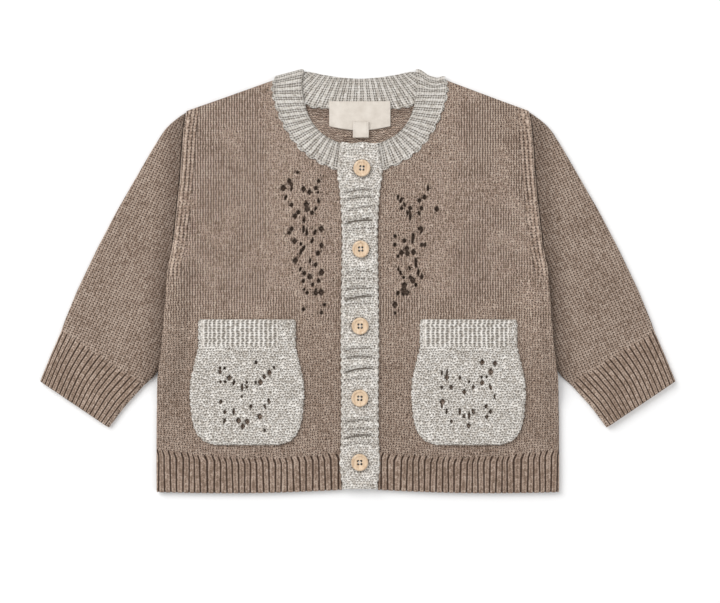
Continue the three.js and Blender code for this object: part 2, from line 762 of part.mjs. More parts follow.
add("back", backPanel(), brownKnit());
for (const [word, side] of [["left", -1], ["right", 1]]) {
  add("front_" + word, frontPanel(side), brownKnit());
  add("sleeve_" + word, sleeveTube(side), brownKnit());
  add("pocket_" + word, patchPocket(side), greyKnit());
}
add("neck_band", neckBand(), greyKnit());
add("button_band", buttonBand(), greyKnit());
add("buttonhole_band", buttonholeBand(), greyKnit());
BUTTON_PLACES.forEach(({ x, y }, i) => {
  const button = add("button_" + (i + 1), woodenButton(), wood());
  button.position.set(CENTRE_FRONT + x, y, OVER_Z + CLOTH + GAP);
});
add("label", label(), wovenTape());
add("size_tab", sizeTab(), wovenTape());

export default cardigan;
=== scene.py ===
# A knitted baby cardigan, buttoned and laid flat on its back, seen from straight above: brown back,
# fronts and sleeves, light bands round the neck and down the front, two light patch pockets with
# lace, five wooden buttons and a bare label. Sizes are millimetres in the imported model's own frame.
import math

import bpy
import numpy as np
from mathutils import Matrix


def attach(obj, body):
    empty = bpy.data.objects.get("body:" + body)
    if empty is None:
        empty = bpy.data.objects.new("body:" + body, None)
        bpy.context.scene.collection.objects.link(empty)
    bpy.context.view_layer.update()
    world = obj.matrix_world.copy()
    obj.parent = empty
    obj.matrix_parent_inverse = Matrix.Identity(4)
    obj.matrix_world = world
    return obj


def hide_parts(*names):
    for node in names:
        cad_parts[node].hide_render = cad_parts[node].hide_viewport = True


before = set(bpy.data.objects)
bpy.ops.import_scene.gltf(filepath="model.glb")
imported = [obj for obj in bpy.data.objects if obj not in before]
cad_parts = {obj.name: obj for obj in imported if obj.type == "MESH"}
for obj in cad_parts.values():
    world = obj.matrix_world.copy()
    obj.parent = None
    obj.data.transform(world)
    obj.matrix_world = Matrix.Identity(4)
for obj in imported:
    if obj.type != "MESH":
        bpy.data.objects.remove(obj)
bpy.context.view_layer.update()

MM = 0.001

CLOTH = 2.0
GAP = 0.3
FRONT_Z = CLOTH + GAP
FRONT_TOP = FRONT_Z + CLOTH
OVER_Z = FRONT_TOP + GAP
FOLD_Z = FRONT_TOP / 2
CENTRE_FRONT = 1.4

WALE = 1.77  # width of one brown stitch
COURSE = 1.5  # height of one brown stitch
GREY_WALE = 1.95
GREY_COURSE = 1.7
RIB_COURSE = 1.6

RIB_CREST = 0.25
RIB_GROOVE = 0.35
FINE_RIB_RELIEF = 0.22  # of the pockets' mouths
HEM_RIBS = 29
CUFF_RIBS = 17
POCKET_RIBS = [17, 19]  # of the left and the right pocket; both stop before the right-hand side
POCKET_RIB_PITCH = 3.12
POCKET_SELVEDGE = 2.2  # beside the first rib
NECK_PITCH = 4.4

# Half the body from hem to neck: side edge, front opening from the centre front, sag of the row.
BODY = np.array([
    [136.2, -142.2, 12.2, -140.6, 1.4],
    [136.4, -140.8, 12.2, -139.4, 1.5],
    [136.5, -128.5, 12.3, -129.2, 2.6],
    [136.5, -115.6, 12.5, -117.4, 4.6],
    [136.5, -114, 12.5, -115.8, 4.6],
    [136.5, -108, 12.4, -110, 4],
    [136.4, -90.4, 12, -89.8, 1.5],
    [136, -76, 12.1, -75, 0],
    [135.3, -63.2, 12.2, -60.5, 0],
    [132.5, -42.2, 12.5, -35.4, 0],
    [130.4, -15.6, 12.3, -10.2, 0],
    [129.1, 2, 12, 4.5, 0],
    [128.4, 10.2, 11.8, 14.3, 0],
    [126, 23.8, 11.5, 29.2, 0],
    [123.3, 46.2, 12.2, 49.6, 0],
])
HEM_TOP = [-114.4, -116.2]  # height of the rib's end at the side and at the opening

# The neck from the band's end to the shoulder: seam, free edge, and the armhole height of the row.
FRONT_NECK = np.array([
    [12.7, 76.8, 12.2, 94.5, 68],
    [24, 80.6, 17.6, 96.6, 76.5],
    [38.4, 89.8, 25.8, 101.5, 90],
    [48.9, 103.4, 32.2, 108.8, 101],
    [55, 116.3, 36.2, 117.9, 109],
    [58.4, 127.8, 38.6, 128, 113.2],
    [58.5, 134, 39.4, 137, 115.3],
    [57.1, 138.2, 37.8, 143.4, 116.6],
])

# The neck from the shoulder to the centre back: seam and free edge.
BACK_NECK = np.array([
    [57.1, 138.2, 37.8, 143.4],
    [52.3, 131.2, 33.9, 143.3],
    [45.5, 125.1, 28.5, 142.2],
    [36.7, 121.4, 23.1, 141.1],
    [20.3, 118, 12.9, 139.6],
    [0, 117, 0, 138.7],
])
MIRROR = np.array([-1, 1, -1, 1])
WHOLE_BACK_NECK = np.vstack([BACK_NECK, BACK_NECK[-2::-1] * MIRROR])

# Armhole edge above the body's rows: height and half width.
ARMHOLE = np.array([
    [46.2, 123.3],
    [66.6, 121.2],
    [78.2, 120.2],
    [90.4, 119.5],
    [100.6, 118.7],
    [109.5, 117.7],
    [116.6, 116.1],
])
SHOULDER = ARMHOLE[-1]

# Rings round the flattened sleeve from the cuff's end to the armhole: outer and inner fold.
SLEEVE = np.array([
    [215.8, -67.2, 169.2, -98.6],
    [208.6, -49.6, 158.3, -84],
    [201.1, -32.4, 144.4, -68.8],
    [198.6, -25, 138.6, -64],
    [190.3, -4.8, 128, -48.3],
    [177.3, 22.4, 125, -28.6],
    [163.1, 49.6, 124.6, -11.6],
    [147.4, 76.8, 125.3, -0.7],
    [139.2, 91, 125.8, 2.4],
    [131.1, 104, 126.7, 6.1],
    [123, 111.8, 127.7, 8.4],
    [116.6, 116.3, 128.8, 10.2],
])
CUFF_LENGTH = 40.0  # of the ribs, from the cuff's end

# The body's side lies over the sleeve's under-arm edge.
TUCK_TOP = 30.0
TUCK_UNDERARM = 8.0
TUCK_OUT = -63.0
TUCK_BOTTOM = -86.0
TUCK_LEVEL = 7.0
TUCK_REACH = 20.0
TUCK_HEIGHT = FRONT_TOP + GAP

# The band down the front: height and half width, then its creases: height, depth and slope.
BAND = np.array([
    [-139.5, 11.1],
    [-132.6, 12],
    [-123.1, 13.2],
    [-106.8, 12.2],
    [-76.2, 12],
    [-45.6, 12.4],
    [-20.4, 12.2],
    [14.3, 11.7],
    [32.6, 11.4],
    [51.7, 12.2],
    [63.2, 13.1],
    [73.4, 14.9],
    [80.2, 14.1],
    [89.1, 12.7],
    [94.9, 12.2],
])
CREASES = np.array([
    [62.8, 0.8, 0.1],
    [58, 0.8, 0.1],
    [51, 0.6, 0.18],
    [42.2, 1.3, 0.11],
    [36.8, 0.5, 0.08],
    [7.9, 0.6, 0.04],
    [2.7, 0.5, 0.05],
    [-3.4, 0.9, 0.02],
    [-9.4, 1.3, 0.13],
    [-13.6, 0.5, 0.03],
    [-44.2, 0.8, 0.05],
    [-49.8, 1.0, 0.03],
    [-58.2, 1.3, 0.13],
    [-64.2, 0.5, 0.04],
    [-93, 0.8, 0.08],
    [-98.6, 0.6, 0.05],
    [-103.2, 1.2, 0.1],
    [-108.4, 0.5, 0.05],
])
BUTTON_PLACES = np.array([
    [1.4, 77.5],
    [0.6, 22.8],
    [0.2, -29.2],
    [0, -77.9],
    [-0.1, -121.3],
])
BUTTON_Z = 6.9

# A pocket from its foot to its mouth: height and half width.
POCKET_X = 75.0
POCKET = np.array([
    [-109.8, 20],
    [-108.9, 25.5],
    [-107, 29.5],
    [-103.4, 33.2],
    [-98.6, 35.7],
    [-91.1, 37.5],
    [-76.8, 38.8],
    [-66.6, 38.4],
    [-53.7, 35.4],
    [-47, 33.8],
    [-44.2, 33],
    [-42.8, 32.9],
    [-26, 33],
    [-24.8, 33],
])
POCKET_RIB_FOOT = -43.5

# Charts of the lace, from the top row down: o a small eyelet, O a large one, / and \\ leaning ones and
# | a slit. A front's columns run from the armhole towards the opening, a pocket's from left to right.
LEFT_CHART = [
    ".....o.........",
    "...............",
    "..O.........O..",
    "...O...........",
    "O..\\...O...O...",
    ".........O..o..",
    ".\\.............",
    "............/..",
    "...O....O......",
    "........O..\\...",
    ".....O....o....",
    "....O..........",
    ".......|.......",
    "...............",
    "...O...|.....O.",
    "..o.....|..\\...",
    "...............",
    "....O.....\\....",
    "......o......O.",
    ".......\\.......",
    "......|.....O..",
    "...............",
    "....O....|.....",
    "...........O...",
    "......\\........",
    ".......O.....O.",
    ".........O.....",
    ".......o....o..",
    "..........o....",
    ".......o...o...",
    "........o..O.O.",
    "...............",
    "...............",
    "..............o",
    ".......o.......",
    ".............o.",
]
RIGHT_CHART = [
    "...............",
    "...............",
    "...............",
    "...............",
    "...|...........",
    "...............",
    "....O........|.",
    "......O.....\\..",
    ".........../...",
    "O....O...O..O..",
    "....../..//....",
    ".........|.....",
    "...............",
    "...............",
    "...../o........",
    ".....o.........",
    "........|.....o",
    "........|..O...",
    "....oo........o",
    "..........O....",
    "........O.O.O..",
    ".............o.",
    ".......|.......",
    ".......|.......",
    "........./...o.",
    "......|...../..",
    ".....O...o.o...",
    "........O......",
    ".......o...O...",
    "...........O...",
    "..........OO.O.",
    "...............",
    "...............",
    "..............O",
    "...............",
    "..............o",
]
FRONT_CHART_AT = (52.0, 74.8)  # of the chart's first column and row, from the centre front
FRONT_CHART_STEP = (-2.0, -2.72)
LEFT_POCKET_CHART = [
    "........o....",
    "oo..........o",
    "o..........O.",
    "..O.......O..",
    "oo.\\..o.oO...",
    ".....|o......",
    ".............",
    ".....o.......",
    "o........../.",
    ".......o../..",
    ".o.|.........",
    ".........O...",
    ".\\..O.O......",
    ".....O.......",
    "..........o..",
]
RIGHT_POCKET_CHART = [
    ".........O..O",
    ".............",
    "||.........O.",
    ".O..o....oo..",
    "......o..O...",
    "o.O....o.../.",
    ".....O.......",
    "............|",
    "O............",
    "o.........o..",
    ".|..|../...o.",
    ".....o|...o..",
    "..o..........",
    "......O......",
]
POCKET_CHART_AT = (-18.0, -54.0)
POCKET_CHART_STEP = (3.0, -3.3)
EYELET_SIZES = {
    "o": (1.1, 1.45, 0),
    "O": (1.65, 2.05, 0),
    "|": (0.85, 2.8, 0),
    "/": (1.0, 2.1, -0.5),
    "\\": (1.0, 2.1, 0.5),
}


def charted(chart, first, step, side):
    """The eyelets of a chart: their places, half sizes and leans, jogged a little as knitting is."""
    draw = np.random.default_rng(5)
    eyelets = []
    for row, line in enumerate(chart):
        for column, mark in enumerate(line):
            if mark != ".":
                half_x, half_y, lean = EYELET_SIZES[mark]
                x = first[0] + step[0] * column + draw.uniform(-0.4, 0.4)
                y = first[1] + step[1] * row + draw.uniform(-0.4, 0.4)
                grown = draw.uniform(0.8, 1.2)
                eyelets.append((side * x, y, half_x * grown, half_y * grown, lean))
    return eyelets


def smoothstep(value, low, high):
    share = np.clip((value - low) / (high - low), 0, 1)
    return share * share * (3 - 2 * share)


def between(low, high, share):
    return low + (high - low) * share


def look_up(keys, values, at, ease=0.0):
    """Values along a table's column, eased over a short distance so that no corner shows."""
    offsets = np.linspace(-ease, ease, 5) if ease else [0.0]
    return sum(np.interp(at + offset, keys, values) for offset in offsets) / len(offsets)


def curve(points, share):
    """Points on the smooth curve through a table's points, at shares from 0 to 1."""
    ends = np.vstack([2 * points[0] - points[1], points, 2 * points[-1] - points[-2]])
    place = np.clip(share, 0, 1) * (len(points) - 1)
    step = np.minimum(place.astype(int), len(points) - 2)
    part = (place - step)[..., None]
    a, b, c, d = (ends[step + k] for k in range(4))
    bend = (2 * a - 5 * b + 4 * c - d) * part**2 + (3 * b - 3 * c + d - a) * part**3
    return 0.5 * (2 * b + (c - a) * part + bend)


def body_side(y):
    low = look_up(BODY[:, 1], BODY[:, 0], y)
    high = look_up(ARMHOLE[:, 0], ARMHOLE[:, 1], y)
    return np.where(y > ARMHOLE[0, 0], high, low)


def tuck_lift(x, y):
    along = smoothstep(y, TUCK_BOTTOM, TUCK_OUT) * (1 - smoothstep(y, TUCK_UNDERARM, TUCK_TOP))
    inward = body_side(y) - np.abs(x)
    return TUCK_HEIGHT * along * (1 - smoothstep(inward, TUCK_LEVEL, TUCK_REACH))


def waves(x, y, seed, shortest=18, longest=45):
    """Soft unevenness from -1 to 1 with its crests between the shortest and longest distance apart."""
    draw = np.random.default_rng(seed)
    total = np.zeros_like(x)
    for _ in range(5):
        angle = draw.uniform(0, 2 * math.pi)
        length = draw.uniform(shortest, longest)
        phase = draw.uniform(0, 2 * math.pi)
        total += np.sin((x * math.cos(angle) + y * math.sin(angle)) * 2 * math.pi / length + phase)
    return total / 5


def rib_height(phase):
    """Height of a rib over its pitch: a broad crest, and a narrow groove at each whole number."""
    off = np.abs(2 * (phase - np.floor(phase)) - 1)
    return between(RIB_CREST, -RIB_GROOVE, smoothstep(off, 0.6, 1))


def fine_rib_height(phase):
    """Height of a light rib over its pitch: a narrow crest between two soft valleys."""
    off = np.abs(2 * (phase - np.floor(phase)) - 1)
    return between(FINE_RIB_RELIEF, -FINE_RIB_RELIEF, smoothstep(off, 0.1, 0.7))


def uneven(phase, ribs, seed):
    """A rib's phase with some ribs a little wider than others."""
    draw = np.random.default_rng(seed)
    widths = draw.uniform(0.86, 1.14, ribs)
    ends = np.concatenate([[0], np.cumsum(widths)]) * ribs / widths.sum()
    return np.interp(phase, ends, np.arange(ribs + 1)) + np.minimum(phase, 0) + np.maximum(phase - ribs, 0)


def rib_start(phase, seed, spread):
    """How much higher or lower each rib's groove runs out than its neighbours' do."""
    draw = np.random.default_rng(seed)
    steps = draw.uniform(-spread, spread, 64)
    return steps[np.clip(np.floor(phase + 0.5).astype(int), 0, 63)]


def edge_round(inward, reach, drop):
    """How far a rounded edge lies below the cloth's top at a distance in from the edge."""
    share = np.clip(inward / reach, 0, 1)
    return drop * (1 - np.sqrt(1 - (1 - share) ** 2))


def new_grid(name, columns, rows):
    bpy.ops.object.select_all(action="DESELECT")
    bpy.ops.mesh.primitive_grid_add(
        x_subdivisions=columns - 1, y_subdivisions=rows - 1, size=1, calc_uvs=False
    )
    piece = bpy.context.active_object
    piece.name = name
    piece.data.name = name
    return piece


def place_points(piece, x, y, z):
    points = np.stack([x, y, z], axis=-1).reshape(-1, 3) * MM
    piece.data.vertices.foreach_set("co", points.ravel())


def paint(piece, name, values):
    layer = piece.data.attributes.new(name, "FLOAT", "POINT")
    layer.data.foreach_set("value", values.ravel().astype(np.float32))


def lay_stitches(piece, wales, courses, regions=()):
    """Writes the stitches' columns and rows as a UV map. A region's faces take stitches of their own."""
    mesh = piece.data
    corners = np.empty(len(mesh.loops), dtype=np.int32)
    mesh.loops.foreach_get("vertex_index", corners)
    across = wales.ravel()[corners]
    along = courses.ravel()[corners]
    for faces, own_wales, own_courses in regions:
        inside = np.repeat(faces.ravel(), 4)
        across = np.where(inside, own_wales.ravel()[corners], across)
        along = np.where(inside, own_courses.ravel()[corners], along)
    layer = mesh.uv_layers.new(name="stitch")
    layer.uv.foreach_set("vector", np.stack([across, along], axis=-1).ravel())


def faces_where(points):
    """Which faces have all their corners among the points."""
    return points[1:, 1:] & points[1:, :-1] & points[:-1, 1:] & points[:-1, :-1]


def shape_eyelets(x, y, z, shade, eyelets):
    """Draws the points round each eyelet onto its rim and says which faces fall inside one."""
    hole = np.zeros((x.shape[0] - 1, x.shape[1] - 1), dtype=bool)
    for at_x, at_y, half_x, half_y, lean in eyelets:
        rise = (y - at_y) / half_y
        across = (x - at_x) / half_x - lean * rise
        away = (np.abs(across) ** 1.25 + np.abs(rise) ** 1.25) ** (1 / 1.25)
        middle = (away[1:, 1:] + away[1:, :-1] + away[:-1, 1:] + away[:-1, :-1]) / 4
        inside = middle < 1.05
        if not inside.any():
            inside = middle == middle.min()
        hole |= inside
        padded = np.pad(inside, 1)
        corners = [padded[1:, 1:], padded[1:, :-1], padded[:-1, 1:], padded[:-1, :-1]]
        rim = np.any(corners, axis=0) & ~np.all(corners, axis=0)
        push = away + 0.3 * np.exp(-(((away - 1) / 0.5) ** 2))
        wanted = np.where(rim, 1.0, np.where(away > 1, push, away))
        scale = wanted / np.maximum(away, 1e-6)
        near = away < 3
        x[near] = (at_x + (across + lean * rise) * scale * half_x)[near]
        y[near] = (at_y + rise * scale * half_y)[near]
        z += np.where(near, 0.25 * np.exp(-(((wanted - 1.6) / 0.4) ** 2)), 0)
        z -= np.where(rim, 0.6, 0)
        # Painted shade darkens each eyelet's rim, and a painted highlight lightens the raised ring round it.
        shade -= np.where(near, 0.15 * np.exp(-(((wanted - 1) / 0.2) ** 2)), 0)
        shade += np.where(near, 0.1 * np.exp(-(((wanted - 1.6) / 0.3) ** 2)), 0)
    return hole


def prick(x, y, z, shade, places, half_x, half_y, lean):
    """Small dark gaps between stitches, too fine to be cut through."""
    for at_x, at_y in places:
        rise = (y - at_y) / half_y
        across = (x - at_x) / half_x - lean * rise
        dent = np.exp(-(across**2 + rise**2))
        # Each dent is sunk and darkened with painted shade, standing in for the shade inside a gap.
        z -= 0.7 * dent
        shade -= 0.75 * dent


def cut_away(piece, faces):
    mesh = piece.data
    bpy.context.tool_settings.mesh_select_mode = (False, False, True)
    bpy.ops.object.mode_set(mode="EDIT")
    bpy.ops.mesh.select_all(action="DESELECT")
    bpy.ops.object.mode_set(mode="OBJECT")
    mesh.polygons.foreach_set("select", faces.ravel())
    bpy.ops.object.mode_set(mode="EDIT")
    bpy.ops.mesh.delete(type="FACE")
    bpy.ops.object.mode_set(mode="OBJECT")


def give_wall(piece):
    """Thickens a shaped sheet and lays its underside at the heights painted on it."""
    wall = piece.modifiers.new("Wall", "SOLIDIFY")
    wall.thickness = CLOTH * MM
    wall.offset = -1
    bpy.ops.object.modifier_apply(modifier="Wall")
    mesh = piece.data
    count = len(mesh.vertices)
    points = np.empty(count * 3)
    mesh.vertices.foreach_get("co", points)
    points = points.reshape(-1, 3)
    under = np.empty(count, dtype=np.float32)
    mesh.attributes["under"].data.foreach_get("value", under)
    half = count // 2
    points[half:, :2] = points[:half, :2]
    points[half:, 2] = under[half:] * MM
    mesh.vertices.foreach_set("co", points.ravel())
    mesh.attributes.remove(mesh.attributes["under"])
    mesh.update()


def finish_cloth(piece, material):
    bpy.ops.object.select_all(action="DESELECT")
    piece.select_set(True)
    bpy.context.view_layer.objects.active = piece
    bpy.ops.object.shade_smooth()
    piece.data.materials.clear()
    piece.data.materials.append(material)
    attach(piece, "root")


def sheet_piece(name, x, y, z, under, paints, stitches, material, hole=None):
    """A cloth piece from lines of points: its top, its underside, what is painted on and its stitches."""
    piece = new_grid(name, x.shape[1], x.shape[0])
    place_points(piece, x, y, z)
    paint(piece, "under", under)
    for layer, values in paints.items():
        paint(piece, layer, values)
    lay_stitches(piece, *stitches)
    if hole is not None and hole.any():
        cut_away(piece, hole)
    give_wall(piece)
    finish_cloth(piece, material)
    return piece


EDGE_STEPS = np.array([0, 0.25, 0.7, 1.3, 2.1])


def across_row(length, count):
    """Distances from one end of each row to its other end, finer near both ends."""
    first = EDGE_STEPS[None, :] * np.ones_like(length)
    last = length - first[:, ::-1]
    inner = between(EDGE_STEPS[-1] + 0.8, length - EDGE_STEPS[-1] - 0.8, np.linspace(0, 1, count)[None, :])
    return np.hstack([first, inner, last])


def even_steps(low, high, count, edge=EDGE_STEPS):
    """Places from low to high, finer near both ends."""
    reach = 2 * edge[-1] - edge[-2]
    inner = np.linspace(low + reach, high - reach, count)
    return np.concatenate([low + edge, inner, high - edge[::-1]])


# Fronts
FRONT_COLUMNS = 164
FRONT_ROWS = 262
LACE_ROWS = 1.1  # how many more rows there are across the lace, as a share
SLIT_LENGTH = 2.4  # how far a hem groove leans over at its top
SLIT_LEAN = 0.09
HEM_SCALLOP = -0.9  # how much a rib's height shows in the outline of the hem
ARMHOLE_BORDER = np.array([[0, 0], [1.2, 0.25], [4.6, 0.3], [5.4, -0.1], [6.4, 0.15], [9.5, 0.15], [12, 0]])
BRAID_WALE = 2.65
BRAID_WALES = 4
BRAID_COURSE = 2.0
FASHIONING = [(113.6, 48.3), (114.3, 43.5), (115.7, 36.7), (117.8, 32), (121, 25.2)]  # beside the border


def front_knots(side):
    """Both ends of a front's rows, from hem to shoulder, with each row's sag."""
    low = np.stack([
        side * BODY[:, 0], BODY[:, 1], CENTRE_FRONT + side * BODY[:, 2], BODY[:, 3], BODY[:, 4]
    ], axis=1)
    neck = curve(FRONT_NECK, np.linspace(0, 1, 25))
    high = np.stack([
        side * body_side(neck[:, 4]), neck[:, 4], CENTRE_FRONT + side * neck[:, 0], neck[:, 1], 0 * neck[:, 0]
    ], axis=1)
    return np.vstack([low, high])


def front_rows(run, height):
    """Where the rows of points lie: closer together across the lace and the tops of the ribs."""
    fine = np.linspace(0, run[-1], 1500)
    level = np.interp(fine, run, height)
    at_lace = smoothstep(level, -26, -18) * (1 - smoothstep(level, 76, 84))
    at_rib_tops = smoothstep(level, -122, -119) * (1 - smoothstep(level, -112, -109))
    crowd = np.cumsum(1 + LACE_ROWS * at_lace + 0.6 * at_rib_tops) * (fine[1] - fine[0])
    return np.interp(even_steps(0, crowd[-1], FRONT_ROWS), crowd - crowd[0], fine)


def front(name, side, material):
    knots = front_knots(side)
    middle = (knots[:, :2] + knots[:, 2:4]) / 2
    run = np.concatenate([[0], np.cumsum(np.hypot(*np.diff(middle, axis=0).T))])
    at = front_rows(run, middle[:, 1])
    ends = np.stack([look_up(run, knots[:, k], at, 1.5) for k in range(5)], axis=1)
    outer, inner, sag = ends[:, None, :2], ends[:, None, 2:4], ends[:, None, 4]
    length = np.hypot(*(outer - inner).transpose(2, 0, 1))
    inward = across_row(length, FRONT_COLUMNS)
    share = inward / length
    x = between(outer[..., 0], inner[..., 0], share)
    straight = between(outer[..., 1], inner[..., 1], share)
    y = straight - sag * np.sin(math.pi * share)
    wander = 0.1 * np.sin(share * 37 + side) * smoothstep(straight, -142, -120)
    phase = uneven((inward - 1.5) / (length - 3.7) * HEM_RIBS + wander, HEM_RIBS, 21 + side)
    rib_top = between(HEM_TOP[0], HEM_TOP[1], share) + rib_start(phase, 41 + side, 0.7)
    at_hem = straight[:1]
    slit = np.clip(straight - rib_top + SLIT_LENGTH, 0, 2 * SLIT_LENGTH)
    phase = phase + SLIT_LEAN * slit
    ribs = 1 - smoothstep(straight, rib_top + 0.8, rib_top + 1.6)
    # ribs also sets the painted shade in the hem's grooves; past one, where a groove leans over into a slit at its
    # top, the groove sinks deeper and takes more painted shade.
    at_slit = np.exp(-(((straight - rib_top + 0.6) / 1.3) ** 2))
    ribs = ribs * (1 + 1.3 * at_slit * smoothstep(np.abs(2 * (phase - np.floor(phase)) - 1), 0.5, 0.8))
    y += HEM_SCALLOP * rib_height(phase) * (1 - smoothstep(straight, at_hem, at_hem + 6))
    z = np.full_like(x, FRONT_TOP) + rib_height(phase) * ribs
    border = look_up(ARMHOLE_BORDER[:, 0], ARMHOLE_BORDER[:, 1], np.minimum(inward, 13), 0.3)
    z += border * smoothstep(y, 6, 14)
    z -= edge_round(inward, 1.6, 1.1) + edge_round(length - inward, 1.2, 0.5)
    z -= edge_round(at[:, None] + 0 * x, 1.6, 1.0)
    lift = tuck_lift(x, y)
    calm = smoothstep(y, -24, -4) * smoothstep(np.abs(x), 14, 24)
    z += lift + (0.3 * waves(x, y, 11 + side) + 0.15 * waves(x, y, 15 + side, 5, 12)) * calm
    # Painted shade in two dotted grooves 5.3 and 7.9 mm in from the side and armhole edge, from above the hem's
    # ribs upwards.
    seam = np.exp(-(((inward - 5.3) / 0.6) ** 2)) + 0.7 * np.exp(-(((inward - 7.9) / 0.6) ** 2))
    dotted = 0.5 + 0.5 * np.sin(y * 2 * math.pi / BRAID_COURSE)
    shade = 0.91 - 0.25 * seam * dotted * smoothstep(straight, -112, -106)
    # Painted light along the raised armhole border.
    shade += 0.12 * (1 - smoothstep(inward, 5, 9)) * smoothstep(y, 2, 10)
    across = np.abs(x - CENTRE_FRONT)
    # Painted shade on the fronts beside the bands down the front, above the pockets.
    shade -= 0.06 * (1 - smoothstep(across, 16, 58)) * smoothstep(y, -40, -20)
    # Painted shade over the lower front round the pockets, less of it on the hem's ribs.
    shade -= 0.13 * (1 - smoothstep(y, -55, -15)) * (1 - 0.7 * ribs.clip(0, 1))
    wales = (x - CENTRE_FRONT) / WALE
    courses = between(ends[:, None, 1] + ends[:, None, 3], 2 * y, smoothstep(y, 45, 75)) / 2 / COURSE
    ribbed = faces_where(ribs > 0.5)
    chart = LEFT_CHART if side < 0 else RIGHT_CHART
    eyelets = charted(chart, FRONT_CHART_AT, FRONT_CHART_STEP, side)
    eyelets = [(CENTRE_FRONT + eyelet[0], *eyelet[1:]) for eyelet in eyelets]
    hole = shape_eyelets(x, y, z, shade, eyelets)
    draw = np.random.default_rng(31 + side)
    beside = [(a + draw.choice([-2.2, 2.2]), b + draw.uniform(-2.5, 2.5)) for a, b, *_ in eyelets]
    prick(x, y, z, shade, beside, 0.45, 0.8, 0.2)
    prick(x, y, z, shade, [(side * a, b) for a, b in FASHIONING], 0.5, 1.2, 0.3)
    braid = 0.5 + inward / BRAID_WALE
    on_braid = smoothstep(y, 2, 10) * (1 - smoothstep(braid, BRAID_WALES, BRAID_WALES + 0.2))
    on_braid *= smoothstep(inward, 0.6, 1.4)
    phase = np.where(on_braid > 0, braid, phase)
    ribs = np.where(on_braid > 0, 0.22 * on_braid, ribs)
    regions = [
        (ribbed, 2 * phase, y / RIB_COURSE),
        (faces_where(on_braid > 0.1), braid, y / BRAID_COURSE),
    ]
    turn = slice(None, None, -side)
    taut = smoothstep(across, 58, 68) * smoothstep(y, -18, -8) * (1 - smoothstep(np.hypot(across, y - 130), 75, 60))
    taut = np.maximum(taut, 0.5 * ribs * (1 - smoothstep(y, -110, -100)))
    taut = np.maximum(taut, 0.75 * (1 - smoothstep(y, -12, 0)) * smoothstep(y, -30, -22))
    paints = {"shade": shade, "rib": phase, "ribbed": ribs, "taut": taut}
    paints = {layer: values[:, turn] for layer, values in paints.items()}
    x, y, z, under = (a[:, turn] for a in (x, y, z, FRONT_Z + lift))
    regions = [[a[:, turn] for a in region] for region in regions]
    stitches = (wales[:, turn], courses[:, turn], regions)
    piece = sheet_piece(name, x, y, z, under, paints, stitches, material, hole[:, turn])
    return piece


# Back
BACK_COLUMNS = 110
BACK_ROWS = 120
BACK_HEM_RISE = 2.6  # the back's hem ends a little above the fronts'


def back_top(x):
    """Height of the back's top edge: the shoulder line, then the neck seam."""
    seam = curve(WHOLE_BACK_NECK, np.linspace(0, 1, 160))[::-1]
    line_x = np.concatenate([[-SHOULDER[1]], CENTRE_FRONT + seam[:, 0], [SHOULDER[1]]])
    line_y = np.concatenate([[SHOULDER[0]], seam[:, 1], [SHOULDER[0]]])
    order = np.argsort(line_x)
    return np.interp(x, line_x[order], line_y[order])


def back(name, material):
    low_rows = even_steps(0, 1, BACK_ROWS, EDGE_STEPS / 190)
    knots_at = np.linspace(0, 1, len(BODY))
    side = np.array([look_up(knots_at, BODY[:, k], low_rows) for k in range(5)])
    share = even_steps(-1, 1, BACK_COLUMNS, EDGE_STEPS / 130)[None, :]
    x_low = side[0][:, None] * share
    y_low = between(side[3][:, None], side[1][:, None], np.abs(share))
    y_low = y_low - side[4][:, None] * np.sin(math.pi * (1 - np.abs(share)))
    y_low += BACK_HEM_RISE * (1 - smoothstep(y_low, -142, -110))
    part = np.linspace(0, 1, 90)[1:, None]
    top_x = SHOULDER[1] * share
    line = back_top(top_x)
    base_x = x_low[-1][None, :]
    base_y = y_low[-1][None, :]
    y_high = between(base_y, line, part)
    x_high = between(base_x, top_x, part)
    edge = body_side(y_high)
    x_high = share * np.where(np.abs(share) > 0.98, edge, np.abs(x_high / np.where(share == 0, 1, share)))
    x = np.vstack([x_low, x_high])
    y = np.vstack([y_low, y_high])
    lift = tuck_lift(x, y)
    inward = np.maximum(body_side(y) - np.abs(x), 0)
    z = CLOTH + lift - edge_round(inward, 1.4, 0.5)
    under = lift + edge_round(inward, 1.4, 0.7)
    shade = np.full_like(x, 0.92)
    # Painted shade along the back's top edge, under the neck band.
    shade -= 0.25 * smoothstep(y - back_top(x), -9, 0)
    # Painted shade on the back where it shows through the fronts' eyelets, standing in for the shade between the
    # layers.
    shade_behind_lace = smoothstep(y, -25, -18) * (1 - smoothstep(y, 76, 82))
    shade -= 0.72 * shade_behind_lace * smoothstep(np.abs(x), 14, 18) * (1 - smoothstep(np.abs(x), 60, 66))
    piece = sheet_piece(name, x, y, z, under, {"shade": shade}, (x / WALE, y / COURSE), material)
    return piece


# Sleeves
SLEEVE_COLUMNS = 118
SLEEVE_UNDER_COLUMNS = 44
SLEEVE_ROWS = 206
SLEEVE_INSIDE_ROWS = 16
FOLD_REACH = 4.0
HOLLOW_EDGE = 2.2
ARMHOLE_SEAM = 0.4
WALE_DIRECTION = np.array([-0.435, 0.9])  # of the sleeve's columns of stitches
SLEEVE_WALE = 2.05
SLEEVE_COURSE = 1.75


